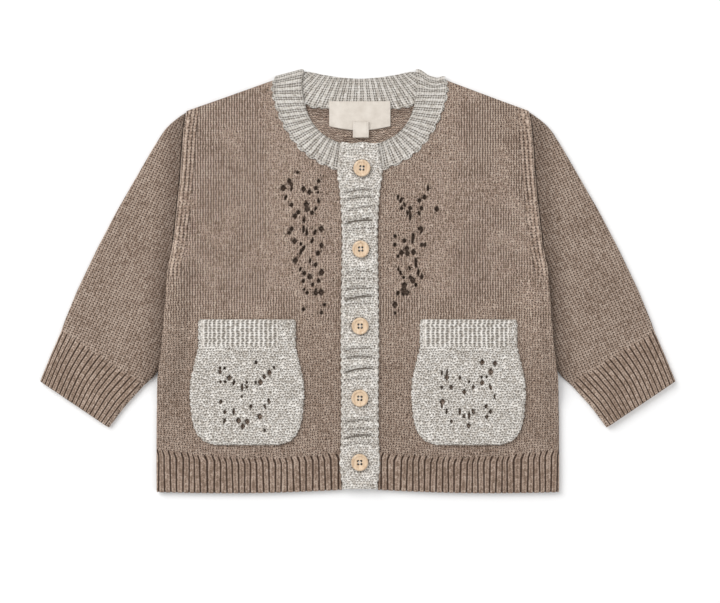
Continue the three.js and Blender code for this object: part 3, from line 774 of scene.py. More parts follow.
def sleeve(name, side, material):
    middle = (SLEEVE[:, :2] + SLEEVE[:, 2:]) / 2
    run = np.concatenate([[0], np.cumsum(np.hypot(*np.diff(middle, axis=0).T))])
    outside = even_steps(0, run[-1], SLEEVE_ROWS, np.array([0, 0.3, 0.8, 1.5]))
    inside = np.linspace(0, run[-1], SLEEVE_INSIDE_ROWS)
    at = np.concatenate([outside[::-1], inside])
    is_inside = np.concatenate([np.zeros(len(outside)), np.ones(len(inside))])[:, None]
    ends = np.stack([look_up(run, SLEEVE[:, k], at, 2.0) for k in range(4)], axis=1)
    length = np.hypot(ends[:, 0] - ends[:, 2], ends[:, 1] - ends[:, 3])[:, None]
    fold = np.array([0, 0.15, 0.5, 1, 1.7, 2.7])
    upper = np.hstack([
        fold + 0 * length,
        between(4, length - 4, np.linspace(0, 1, SLEEVE_COLUMNS)[None, :]),
        length - fold[::-1],
    ])
    lower = np.hstack([
        length - fold[1:],
        between(length - 4, 4, np.linspace(0, 1, SLEEVE_UNDER_COLUMNS)[None, :]),
        fold[:0:-1] + 0 * length,
        0 * length,
    ])
    inward = np.hstack([upper, lower])
    facing = np.concatenate([np.ones(upper.shape[1]), -np.ones(lower.shape[1])])[None, :]
    near = np.minimum(inward, length - inward)
    bulge = np.sqrt(1 - (1 - np.clip(near / FOLD_REACH, 0, 1)) ** 2)
    z = FOLD_Z + facing * FOLD_Z * bulge
    hollow = between(HOLLOW_EDGE, length - HOLLOW_EDGE, inward / length)
    apart = GAP / 2 * np.clip(near / 4, 0, 1)
    z = np.where(is_inside > 0, FOLD_Z + facing * apart, z)
    inward = np.where(is_inside > 0, hollow, inward)
    share = inward / length
    x = between(ends[:, None, 0], ends[:, None, 2], share)
    y = between(ends[:, None, 1], ends[:, None, 3], share)
    at_armhole = smoothstep(at[:, None], run[-1] - 8, run[-1])
    x += at_armhole * (body_side(y[0]) + ARMHOLE_SEAM - x[0])
    along = at[:, None] + 0 * x
    swing = 0.35 * np.sin(math.pi * np.clip(along / CUFF_LENGTH, 0, 1)) * np.sin(math.pi * share)
    phase = uneven((inward - 1.5) / (length - 4.5) * CUFF_RIBS + swing, CUFF_RIBS, 61 + side)
    top = CUFF_LENGTH + rib_start(phase, 71 + side, 1.0)
    ribs = (1 - smoothstep(along, top - 4, top)) * (facing > 0) * (1 - is_inside)
    ribs = ribs * (1 - smoothstep(phase, CUFF_RIBS + 0.3, CUFF_RIBS + 0.5))
    z += rib_height(phase) * ribs * smoothstep(near, 0.5, 2)
    soft = smoothstep(near, 4, 12) * (facing > 0) * (1 - is_inside) * smoothstep(along, 44, 60)
    z += 0.35 * waves(x, y, 31 + side) * soft * (1 - at_armhole)
    for ring in (0, -1):
        z[ring] = between(z[ring], FOLD_Z, 0.3)
    z[len(outside) - 1] = between(z[len(outside) - 1], FOLD_Z, 0.35)
    beside = np.abs(x) - body_side(np.clip(y, -143, 116))
    # Painted shade darkens the sleeve for 18 mm beside the body, whose edge stands over it; the whole sleeve is
    # painted darker than the fronts, and its cuff lighter than the rest.
    shade = 0.78 - 0.33 * (1 - smoothstep(beside, 0, 18)) * (1 - is_inside)
    shade += 0.16 * (1 - smoothstep(along, CUFF_LENGTH - 4, CUFF_LENGTH + 2))
    from_axis = (x - 170) * WALE_DIRECTION[1] - (y - 0) * WALE_DIRECTION[0]
    on_axis = (x - 170) * WALE_DIRECTION[0] + y * WALE_DIRECTION[1]
    wales, courses = side * from_axis / SLEEVE_WALE, on_axis / SLEEVE_COURSE
    rings = (side * x, y, z, shade, phase, ribs, wales, courses, along / RIB_COURSE)
    x, y, z, shade, phase, ribs, wales, courses, rib_courses = (
        np.vstack([a, a[:1]])[:, ::side] for a in rings
    )
    piece = new_grid(name, x.shape[1], x.shape[0])
    place_points(piece, x, y, z)
    paint(piece, "shade", shade)
    paint(piece, "rib", phase)
    paint(piece, "ribbed", ribs)
    paint(piece, "taut", 0.5 * ribs)
    lay_stitches(piece, wales, courses, [(faces_where(ribs > 0.2), 2 * phase, rib_courses)])
    close_tube(piece)
    finish_cloth(piece, material)
    return piece


def close_tube(piece):
    """Welds a sheet's meeting sides, and turns its faces outwards."""
    bpy.ops.object.mode_set(mode="EDIT")
    bpy.ops.mesh.select_all(action="SELECT")
    bpy.ops.mesh.remove_doubles(threshold=0.002 * MM)
    bpy.ops.mesh.normals_make_consistent(inside=False)
    bpy.ops.object.mode_set(mode="OBJECT")


# Neck band
NECK_STEPS_PER_RIB = 8
NECK_WIDTH_STEPS = 22
FOLD_STEPS = 10
FOLD_RUN = 0.6
LOBE = 1.9  # how far the seam's lobes lie over the brown cloth
LOBE_PITCH = 6.6
SHOULDER_DIP = 2.4  # of the band's fold at the right shoulder


def run_along(seam, free, count):
    """Shares at even distances along the middle of a stretch of band, and its whole length."""
    share = np.linspace(0, 1, 400)
    middle = (curve(seam, share) + curve(free, share)) / 2
    run = np.concatenate([[0], np.cumsum(np.hypot(*np.diff(middle, axis=0).T))])
    return np.interp(np.linspace(0, run[-1], count), run, share), run[-1]


def neck_stations():
    """Stations along the band from its right end to its left one: seam, free edge, turn and distance."""
    stations = []
    front_share, front_run = run_along(FRONT_NECK[:, :2], FRONT_NECK[:, 2:4], 22 * NECK_STEPS_PER_RIB)
    back_share, back_run = run_along(WHOLE_BACK_NECK[:, :2], WHOLE_BACK_NECK[:, 2:], 30 * NECK_STEPS_PER_RIB)
    seam = curve(FRONT_NECK[:, :2], front_share)
    free = curve(FRONT_NECK[:, 2:4], front_share)
    forward = [(s, f, 90.0, u) for s, f, u in zip(seam, free, np.linspace(0, front_run, len(seam)))]
    turns = np.linspace(90, -90, FOLD_STEPS + 2)[1:-1]
    fold = [(seam[-1], free[-1], turn, front_run + FOLD_RUN * i) for i, turn in enumerate(turns, start=1)]
    front_run += FOLD_RUN * (FOLD_STEPS + 1)
    flip = np.array([-1, 1])
    back_seam = curve(WHOLE_BACK_NECK[:, :2], back_share)
    back_free = curve(WHOLE_BACK_NECK[:, 2:], back_share)
    behind = [
        (s, f, -90.0, front_run + u)
        for s, f, u in zip(back_seam, back_free, np.linspace(0, back_run, len(back_seam)))
    ]
    whole = 2 * front_run + back_run
    fold_left = [(s * flip, f * flip, turn, whole - u) for s, f, turn, u in reversed(fold)]
    forward_left = [(s * flip, f * flip, turn, whole - u) for s, f, turn, u in reversed(forward)]
    return forward + fold + behind + fold_left + forward_left


def seam_edge(lobe, over, level, inwards):
    """Points across the band's seam edge, which swells into lobes over the brown cloth beside it."""
    raise_by = np.array([[0.1, 0.2, 0.4, 0.65, 0.7]])
    plain_drop = np.array([[0.75, 0.45, 0.2, 0.05, 0.0]])
    reach = np.array([[0.0, 0.6, 1.0, 0.8, 0.0]])
    plain_step = np.array([[0.0, 0.05, 0.15, 0.35, 0.6]])
    distance = GAP - reach * lobe + plain_step * (1 - over) + np.array([[0, 0, 0, 0, 0.6]]) * over
    height = level + inwards * (plain_drop * (1 - over) - raise_by * over)
    return distance, height


def neck_band(name, material):
    stations = neck_stations()
    seam = np.array([s for s, _, _, _ in stations])
    free = np.array([f for _, f, _, _ in stations])
    turn = np.radians([t for _, _, t, _ in stations])
    run = np.array([u for _, _, _, u in stations])[:, None]
    seam[:, 0] += CENTRE_FRONT
    free[:, 0] += CENTRE_FRONT
    along = free - seam
    width = np.hypot(*along.T)[:, None]
    away = along / width
    outward = np.stack([-away[:, 1], away[:, 0]], axis=1)
    outward *= np.where(outward[:, 1:] < 0, -1, 1)
    facing = np.sin(turn)[:, None]
    part = run / NECK_PITCH - np.floor(run / NECK_PITCH)
    knit_line = np.exp(-(((part - 0.5) / 0.16) ** 2))
    lobe = LOBE * np.abs(np.sin(math.pi * run / LOBE_PITCH)) ** 0.7
    over_front = smoothstep(facing, 0.3, 0.95)
    over_back = smoothstep(-facing, 0.3, 0.95) * smoothstep(np.abs(seam[:, :1] - CENTRE_FRONT), 22, 27)
    width_share = np.linspace(0, 1, NECK_WIDTH_STEPS)[None, :]
    free_end = 1 - np.array([0.05, 0.02, 0.008, 0])[None, :]
    spread = np.hstack([between(0.06, 0.93, width_share), free_end])
    distance = GAP + (width - GAP) * spread
    body = smoothstep(spread, 0.03, 0.1) * (1 - smoothstep(spread, 0.93, 0.99))
    ribbing = (0.5 * knit_line - 0.25) * body
    roundness = edge_round(width - distance, 1.6, 0.9)
    top = GAP / 2 + CLOTH
    foot = GAP / 2
    height_out = top + ribbing * np.clip(facing, 0, 1) - roundness
    height_in = foot - ribbing * 0.7 * np.clip(-facing, 0, 1) + roundness
    out_edge = seam_edge(lobe * over_front, over_front, top, -1)
    in_edge = seam_edge(lobe * over_back, over_back, foot, 1)
    distance = np.hstack([out_edge[0], distance, distance[:, ::-1], in_edge[0][:, ::-1], out_edge[0][:, :1]])
    height = np.hstack([out_edge[1], height_out, height_in[:, ::-1], in_edge[1][:, ::-1], out_edge[1][:, :1]])
    place = seam[:, None, :] + away[:, None, :] * distance[..., None]
    flat = np.cos(turn)[:, None]
    x = place[..., 0] + outward[:, None, 0] * height * flat
    y = place[..., 1] + outward[:, None, 1] * height * flat
    z = FOLD_Z + height * facing
    y -= SHOULDER_DIP * smoothstep(x, 42, 49) * (1 - smoothstep(x, 53, 59)) * smoothstep(y, 128, 138)
    # Painted shade along the band's rounded free edge.
    shade = 0.92 - 0.1 * smoothstep(distance, width - 3, width) + 0 * x
    phase = run / NECK_PITCH + 0 * x
    piece = new_grid(name, x.shape[1], x.shape[0])
    place_points(piece, x, y, z)
    paint(piece, "shade", shade)
    paint(piece, "rib", phase)
    # ribbed also sets the painted shade in the band's rib valleys.
    paint(piece, "ribbed", 1.15 * smoothstep(distance, 0.2, 1.2))
    lay_stitches(piece, 3 * phase - 0.5, distance / GREY_COURSE)
    bpy.ops.object.mode_set(mode="EDIT")
    bpy.ops.mesh.select_all(action="SELECT")
    bpy.ops.mesh.remove_doubles(threshold=0.002 * MM)
    bpy.ops.mesh.select_all(action="DESELECT")
    bpy.ops.mesh.select_mode(type="EDGE")
    bpy.ops.mesh.select_non_manifold()
    bpy.ops.mesh.edge_face_add()
    bpy.ops.mesh.select_all(action="SELECT")
    bpy.ops.mesh.normals_make_consistent(inside=False)
    bpy.ops.object.mode_set(mode="OBJECT")
    finish_cloth(piece, material)
    return piece


# Buttonhole band
BAND_COLUMNS = 30
BAND_ROWS = 300
BUTTON_SEAT = 8.0
CREASE_WIDTH = 2.2


def crease_heights(x, y):
    """Height and painted shade of the creases across the band: none under a button."""
    seat = np.min([np.abs(y - at) for _, at in BUTTON_PLACES], axis=0)
    clear = smoothstep(seat, BUTTON_SEAT - 2, BUTTON_SEAT + 3)
    dent = np.zeros_like(y)
    dark = np.zeros_like(y)
    for at, depth, slope in CREASES:
        away = y - at - slope * x + 0.012 * x**2
        dent = np.maximum(dent, depth * np.exp(-((away / CREASE_WIDTH) ** 2)))
        # Painted shade: a thin dark line along each crease, fading out on the band's right-hand part, over a wider
        # soft one.
        line = 1.25 * np.exp(-((away / 0.7) ** 2)) * (1 - smoothstep(x, 6, 11))
        dark = np.maximum(dark, depth * (0.75 * line + 0.16 * np.exp(-((away / 2.2) ** 2))))
    return clear * (0.35 - dent), clear * dark


def buttonhole_band(name, material):
    foot, head = BAND[0, 0], BAND[-1, 0]
    rows = even_steps(foot, head, BAND_ROWS)
    half = look_up(BAND[:, 0], BAND[:, 1], rows, 3.0)[:, None]
    half = half + 0.9 * np.abs(np.sin(rows * math.pi / 5.2))[:, None]
    inward = across_row(2 * half, BAND_COLUMNS)
    x = CENTRE_FRONT - half + inward
    y = rows[:, None] + 0 * x
    near = np.minimum(inward, 2 * half - inward)
    end = np.minimum(rows - foot, head - rows)[:, None]
    height, dark = crease_heights(x - CENTRE_FRONT, y)
    fade = smoothstep(near, 1.0, 5.0)
    chain = 0.5 + 0.5 * np.abs(np.sin(y * math.pi / 4.6))
    bead = 0.4 * np.exp(-(((near - 1.3) / 0.8) ** 2)) * chain
    z = OVER_Z + CLOTH + height * between(0.4, 1, fade) + bead
    z -= edge_round(near, 1.3, 1.2) + edge_round(end + 0 * x, 1.5, 0.9)
    # Painted shade in the creases, and a painted highlight on the raised chain bead along both sides.
    shade = 1.1 - 0.85 * dark * fade + 0.06 * np.exp(-(((near - 1.2) / 0.9) ** 2)) * chain
    # Painted shadow on the band in a ring round each button.
    for button_x, button_y in BUTTON_PLACES:
        away = np.hypot(x - CENTRE_FRONT - button_x, y - button_y)
        shade -= 0.3 * np.exp(-(((away - BUTTON_RADIUS - 0.5) / 0.7) ** 2))
    # A line of painted shade just inside the raised chain bead.
    shade -= 0.15 * np.exp(-(((near - 2.9) / 0.6) ** 2))
    y = y + 0.5 * np.sin(x * 0.45) * smoothstep(y, head - 12, head)
    under = np.full_like(x, OVER_Z)
    stitches = (x / GREY_WALE, y / GREY_COURSE)
    piece = sheet_piece(name, x, y, z, under, {"shade": shade}, stitches, material)
    return piece


def button_band(name, material):
    half, foot, head = 11.1, -137.8, 93.6
    rows = even_steps(foot, head, 90)
    across = even_steps(-half, half, 12)
    x = CENTRE_FRONT + across[None, :] + 0 * rows[:, None]
    y = rows[:, None] + 0 * x
    near = np.minimum(half - np.abs(across)[None, :], np.minimum(rows - foot, head - rows)[:, None])
    z = FRONT_TOP - edge_round(near, 1.3, 0.9)
    under = np.full_like(x, FRONT_Z)
    stitches = (x / GREY_WALE, y / GREY_COURSE)
    piece = sheet_piece(name, x, y, z, under, {"shade": np.ones_like(x)}, stitches, material)
    return piece


# Pockets
POCKET_COLUMNS = 112
POCKET_ROWS = 96


def pocket(name, side, material):
    foot, head = POCKET[0, 0], POCKET[-1, 0]
    rows = even_steps(foot, head, POCKET_ROWS)
    half = look_up(POCKET[:, 0], POCKET[:, 1], rows, 0.8)[:, None]
    bumps = 0.5 * np.abs(np.sin(rows * 0.62 + side)) + 0.35 * np.sin(rows * 0.37) * np.sin(rows * 1.9)
    half = half + bumps[:, None] - 0.25
    half = half - 1.4 * (1 - smoothstep(head - rows, -1.0, 2.2))[:, None]
    inward = across_row(2 * half, POCKET_COLUMNS)
    x = side * POCKET_X - half + inward
    y = rows[:, None] + 0 * x
    near = np.minimum(inward, 2 * half - inward)
    ribs = smoothstep(y, POCKET_RIB_FOOT - 0.7, POCKET_RIB_FOOT + 0.7)
    count = POCKET_RIBS[0] if side < 0 else POCKET_RIBS[1]
    phase = uneven((inward - POCKET_SELVEDGE) / POCKET_RIB_PITCH, count, 81 + side)
    swell = 0.3 * smoothstep(near, 6, 16) * (1 - ribs)
    ribs = ribs * smoothstep(phase, -0.1, 0.1) * (1 - smoothstep(phase, count - 0.6, count + 0.2))
    z = OVER_Z + CLOTH + swell + fine_rib_height(phase) * ribs
    edge = np.minimum(near, (rows - foot)[:, None])
    z -= edge_round(edge, 2.2, 1.2) + edge_round((head - rows)[:, None] + 0 * x, 1.5, 0.7)
    z += 0.15 * waves(x, y, 51 + side, 6, 14) * smoothstep(edge, 2, 6) * (1 - ribs)
    shade = np.ones_like(x)
    wales = (x - side * POCKET_X) / GREY_WALE
    courses = y / GREY_COURSE
    ribbed = faces_where(ribs > 0.5)
    chart = LEFT_POCKET_CHART if side < 0 else RIGHT_POCKET_CHART
    eyelets = charted(chart, POCKET_CHART_AT, POCKET_CHART_STEP, 1)
    eyelets = [(side * POCKET_X + eyelet[0], *eyelet[1:]) for eyelet in eyelets]
    hole = shape_eyelets(x, y, z, shade, eyelets)
    under = np.full_like(x, OVER_Z)
    stitches = (wales, courses, [(ribbed, phase, y / GREY_COURSE)])
    paints = {"shade": shade, "rib": phase, "ribbed": ribs}
    piece = sheet_piece(name, x, y, z, under, paints, stitches, material, hole)
    return piece


# Label and size tab
LABEL_Z = CLOTH + GAP


def tape(name, left, right, bottom, top, z, bow, material):
    """A flat piece of woven tape whose lower edge bows down."""
    across = even_steps(left, right, 40, np.array([0, 0.15, 0.4]))
    rows = even_steps(bottom, top, 20, np.array([0, 0.15, 0.4]))
    x = across[None, :] + 0 * rows[:, None]
    share = (x - left) / (right - left)
    dip = bow * np.sin(math.pi * share) * ((top - rows) / (top - bottom))[:, None]
    y = rows[:, None] - dip
    near = np.minimum(np.minimum(x - left, right - x), np.minimum(rows - bottom, top - rows)[:, None])
    surface = z + 1.0 - edge_round(near, 0.4, 0.35)
    under = np.full_like(x, z)
    stitch_line = np.exp(-(((np.minimum(x - left, right - x) - 1.3) / 0.35) ** 2))
    # A dotted darker line along each stitched end, and painted shade on the rounded edges.
    shade = 1 - 0.22 * stitch_line * (0.5 + 0.5 * np.sin(y * 4.5)) - 0.25 * edge_round(near, 0.6, 1)
    piece = sheet_piece(name, x, y, surface, under, {"shade": shade}, (x, y), material)
    return piece


# Buttons
BUTTON_RADIUS = 5.75
BUTTON_PROFILE = [
    (0.80, 0.0), (0.93, 0.25), (1.0, 0.9), (1.0, 1.7), (0.97, 2.3), (0.9, 2.6), (0.80, 2.6),
    (0.72, 2.4), (0.66, 2.05), (0.3, 1.95),
]
BUTTON_SIDES = 64
DISH_HEIGHT = 1.95
HOLE_CIRCLE = 1.5
HOLE_RADIUS = 0.8
BUTTON_TURNS = [-0.05, 0.03, 0.02, -0.04, 0.06]


def wooden_button(name, material):
    """A turned wooden disc with a raised rim and a dished middle; its four holes are bored afterwards."""
    bpy.ops.object.select_all(action="DESELECT")
    bpy.ops.mesh.primitive_circle_add(
        vertices=BUTTON_SIDES, radius=BUTTON_PROFILE[0][0] * BUTTON_RADIUS * MM, fill_type="NGON"
    )
    disc = bpy.context.active_object
    disc.name = name
    disc.data.name = name
    bpy.ops.object.mode_set(mode="EDIT")
    bpy.ops.mesh.select_mode(type="FACE")
    bpy.ops.mesh.select_all(action="SELECT")
    last_radius, last_height = BUTTON_PROFILE[0]
    for radius, height in BUTTON_PROFILE[1:]:
        bpy.ops.mesh.extrude_region_move()
        bpy.ops.transform.translate(value=(0, 0, (height - last_height) * MM))
        scale = radius / last_radius
        bpy.ops.transform.resize(value=(scale, scale, 1), center_override=(0, 0, height * MM))
        last_radius, last_height = radius, height
    bpy.ops.mesh.select_all(action="SELECT")
    bpy.ops.mesh.normals_make_consistent(inside=False)
    bpy.ops.object.mode_set(mode="OBJECT")
    disc.data.materials.append(material)
    return disc


def bore_button(disc, bore_shade):
    for turn in (45, 135, 225, 315):
        angle = math.radians(turn)
        bpy.ops.object.select_all(action="DESELECT")
        bpy.ops.mesh.primitive_cylinder_add(
            vertices=20, radius=HOLE_RADIUS * MM, depth=12 * MM,
            location=(HOLE_CIRCLE * math.cos(angle) * MM, HOLE_CIRCLE * math.sin(angle) * MM, 0),
        )
        drill = bpy.context.active_object
        # The drill's painted shade finish passes to the walls of the hole it cuts.
        drill.data.materials.append(bore_shade)
        cut = disc.modifiers.new("Bore", "BOOLEAN")
        cut.operation = "DIFFERENCE"
        cut.object = drill
        cut.solver = "EXACT"
        cut.material_mode = "TRANSFER"
        bpy.ops.object.select_all(action="DESELECT")
        disc.select_set(True)
        bpy.context.view_layer.objects.active = disc
        bpy.ops.object.modifier_apply(modifier="Bore")
        bpy.data.objects.remove(drill)


def sewing_thread(material):
    """Thread that runs from each hole to the next, pulled in towards the middle."""
    hole = HOLE_CIRCLE * math.sqrt(0.5)
    top = DISH_HEIGHT + 0.25
    inner = hole - 0.3
    route = [(-inner, inner, 0.9), (-inner, inner, top), (0, inner - 0.15, top + 0.1),
             (inner, inner, top), (inner, inner, 0.9)]
    strands = []
    for quarter in range(4):
        bpy.ops.object.select_all(action="DESELECT")
        bpy.ops.curve.primitive_nurbs_path_add()
        strand = bpy.context.active_object
        spline = strand.data.splines[0]
        for point, (x, y, z) in zip(spline.points, route):
            for _ in range(quarter):
                x, y = -y, x
            point.co = (x * MM, y * MM, z * MM, 1)
        strand.data.resolution_u = 4
        strand.data.bevel_depth = 0.14 * MM
        strand.data.bevel_resolution = 2
        strand.data.use_fill_caps = True
        bpy.ops.object.convert(target="MESH")
        strands.append(bpy.context.active_object)
    for strand in strands:
        strand.select_set(True)
    bpy.ops.object.join()
    thread = bpy.context.active_object
    bpy.ops.object.mode_set(mode="EDIT")
    bpy.ops.mesh.select_all(action="SELECT")
    bpy.ops.mesh.remove_doubles(threshold=0.001 * MM)
    bpy.ops.mesh.normals_make_consistent(inside=False)
    bpy.ops.object.mode_set(mode="OBJECT")
    bpy.ops.object.shade_smooth()
    thread.data.materials.append(material)
    return thread


def placed_copy(first, name, turn, x, y):
    """A copy with its own mesh, turned and set down at its place."""
    piece = first.copy()
    piece.data = first.data.copy()
    piece.name = name
    piece.data.name = name
    bpy.context.collection.objects.link(piece)
    points = np.empty(len(piece.data.vertices) * 3)
    piece.data.vertices.foreach_get("co", points)
    across, along, height = points.reshape(-1, 3).T
    turned = np.stack([
        across * math.cos(turn) - along * math.sin(turn) + (CENTRE_FRONT + x) * MM,
        across * math.sin(turn) + along * math.cos(turn) + y * MM,
        height + BUTTON_Z * MM,
    ], axis=-1)
    piece.data.vertices.foreach_set("co", turned.ravel())
    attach(piece, "root")
    return piece


def buttons():
    disc = wooden_button("button_disc", wood_finish())
    bore_button(disc, bore_shade_finish())
    bpy.ops.object.shade_smooth_by_angle(angle=math.radians(40))
    thread = sewing_thread(thread_finish())
    for number, (x, y) in enumerate(BUTTON_PLACES, start=1):
        turn = BUTTON_TURNS[number - 1]
        button = placed_copy(disc, f"wooden_button_{number}", turn, x, y)
        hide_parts(f"button_{number}")
        stitches = placed_copy(thread, f"button_thread_{number}", turn, x, y)
    for first in (disc, thread):
        bpy.data.objects.remove(first)


# Finishes
class Finish:
    """A material that is put together one node at a time."""

    def __init__(self, name):
        self.material = bpy.data.materials.new(name)
        self.material.use_nodes = True
        self.tree = self.material.node_tree
        self.surface = self.tree.nodes["Principled BSDF"]

    def add(self, kind, **settings):
        node = self.tree.nodes.new(kind)
        for key, value in settings.items():
            setattr(node, key, value)
        return node

    def join(self, source, socket):
        self.tree.links.new(source, socket)

    def sum(self, operation, first, second=None, third=None):
        node = self.add("ShaderNodeMath", operation=operation)
        for socket, value in zip(node.inputs, (first, second, third)):
            if isinstance(value, (int, float)):
                socket.default_value = value
            elif value is not None:
                self.join(value, socket)
        return node.outputs[0]

    def noise(self, vector, scale, detail=2.0, roughness=0.5, output="Fac"):
        node = self.add("ShaderNodeTexNoise")
        node.inputs["Scale"].default_value = scale
        node.inputs["Detail"].default_value = detail
        node.inputs["Roughness"].default_value = roughness
        self.join(vector, node.inputs["Vector"])
        return node.outputs[output]

    def parts(self, vector):
        node = self.add("ShaderNodeSeparateXYZ")
        self.join(vector, node.inputs[0])
        return node.outputs["X"], node.outputs["Y"]

    def painted(self, name):
        return self.add("ShaderNodeAttribute", attribute_name=name).outputs["Fac"]

    def weighted(self, *terms):
        """One half, plus how far each value is from one half times its weight."""
        total = 0.5 - sum(weight for _, weight in terms) / 2
        for value, weight in terms:
            total = self.sum("MULTIPLY_ADD", value, weight, total)
        return total

    def step_up(self, value, low, high):
        """A soft step from 0 at the low value to 1 at the high one."""
        node = self.add("ShaderNodeMapRange", interpolation_type="SMOOTHSTEP")
        node.inputs["From Min"].default_value = low
        node.inputs["From Max"].default_value = high
        self.join(value, node.inputs["Value"])
        return node.outputs["Result"]

    def from_middle(self, value):
        """0 in the middle of each whole step and 1 between two steps."""
        return self.sum("ABSOLUTE", self.sum("MULTIPLY_ADD", self.sum("FRACT", value), 2.0, -1.0))

    def arch(self, value):
        """1 in the middle of each whole step and 0 between two steps."""
        return self.sum("SINE", self.sum("MULTIPLY", self.sum("FRACT", value), math.pi))

    def power(self, value, exponent):
        return self.sum("POWER", value, exponent)

    def less(self, value):
        return self.sum("SUBTRACT", 1.0, value)

    def ramp(self, factor, stops):
        node = self.add("ShaderNodeValToRGB")
        while len(node.color_ramp.elements) < len(stops):
            node.color_ramp.elements.new(0.5)
        for element, (place, colour) in zip(node.color_ramp.elements, stops):
            element.position = place
            element.color = (*colour, 1)
        self.join(factor, node.inputs["Fac"])
        return node.outputs["Color"]

    def bump(self, height, distance, strength=1.0, normal=None):
        node = self.add("ShaderNodeBump")
        node.inputs["Distance"].default_value = distance * MM
        node.inputs["Strength"].default_value = strength
        self.join(height, node.inputs["Height"])
        if normal is not None:
            self.join(normal, node.inputs["Normal"])
        return node.outputs["Normal"]

    def mixed(self, factor, shade_colour, colour):
        """From the painted shade colour at 0 to the other one at 1."""
        node = self.add("ShaderNodeMix", data_type="RGBA")
        self.join(factor, node.inputs["Factor"])
        ends = [socket for socket in node.inputs if socket.type == "RGBA"]
        ends[0].default_value = (*shade_colour, 1)
        self.join(colour, ends[1])
        return next(socket for socket in node.outputs if socket.type == "RGBA")


def linear(red, green, blue):
    """A colour from screen values to the light it reflects."""
    return tuple(((c / 255 + 0.055) / 1.055) ** 2.4 for c in (red, green, blue))


def stocking_gaps(finish, wale, course, ribbed, taut):
    """Between the stitches of a knit side: lines beside its columns and dots where the rows meet."""
    off = finish.from_middle(wale)
    row = finish.sum("MULTIPLY_ADD", off, -0.6, course)
    rows = finish.power(finish.less(finish.arch(row)), 1.5)
    rows = finish.sum("MULTIPLY", rows, finish.sum("MULTIPLY_ADD", finish.power(off, 2.0), 1.3, 0.25))
    columns = finish.sum("MULTIPLY", finish.power(off, 3.0), taut)
    return finish.sum("MINIMUM", finish.sum("ADD", rows, columns), 1.0), row


def purl_gaps(finish, wale, course, ribbed, taut):
    """Between the rows of small bumps on the inside of the cloth."""
    turned = finish.sum("SINE", finish.sum("MULTIPLY", wale, 2 * math.pi))
    row = finish.sum("MULTIPLY_ADD", turned, 0.22, course)
    return finish.power(finish.less(finish.arch(row)), 1.5), row


def dotted_gaps(finish, wale, course, ribbed, taut):
    """Dots between light stitches, staggered from row to row but not in the ribs."""
    odd_row = finish.sum("FRACT", finish.sum("MULTIPLY", finish.sum("FLOOR", course), 0.5))
    off = finish.from_middle(finish.sum("MULTIPLY_ADD", odd_row, finish.less(ribbed), wale))
    row = finish.sum("MULTIPLY_ADD", off, -0.35, course)
    dots = finish.sum("MULTIPLY", finish.power(off, 1.7), finish.power(finish.arch(row), 2.2))
    return finish.sum("MINIMUM", finish.sum("MULTIPLY", dots, 1.7), 1.0), course


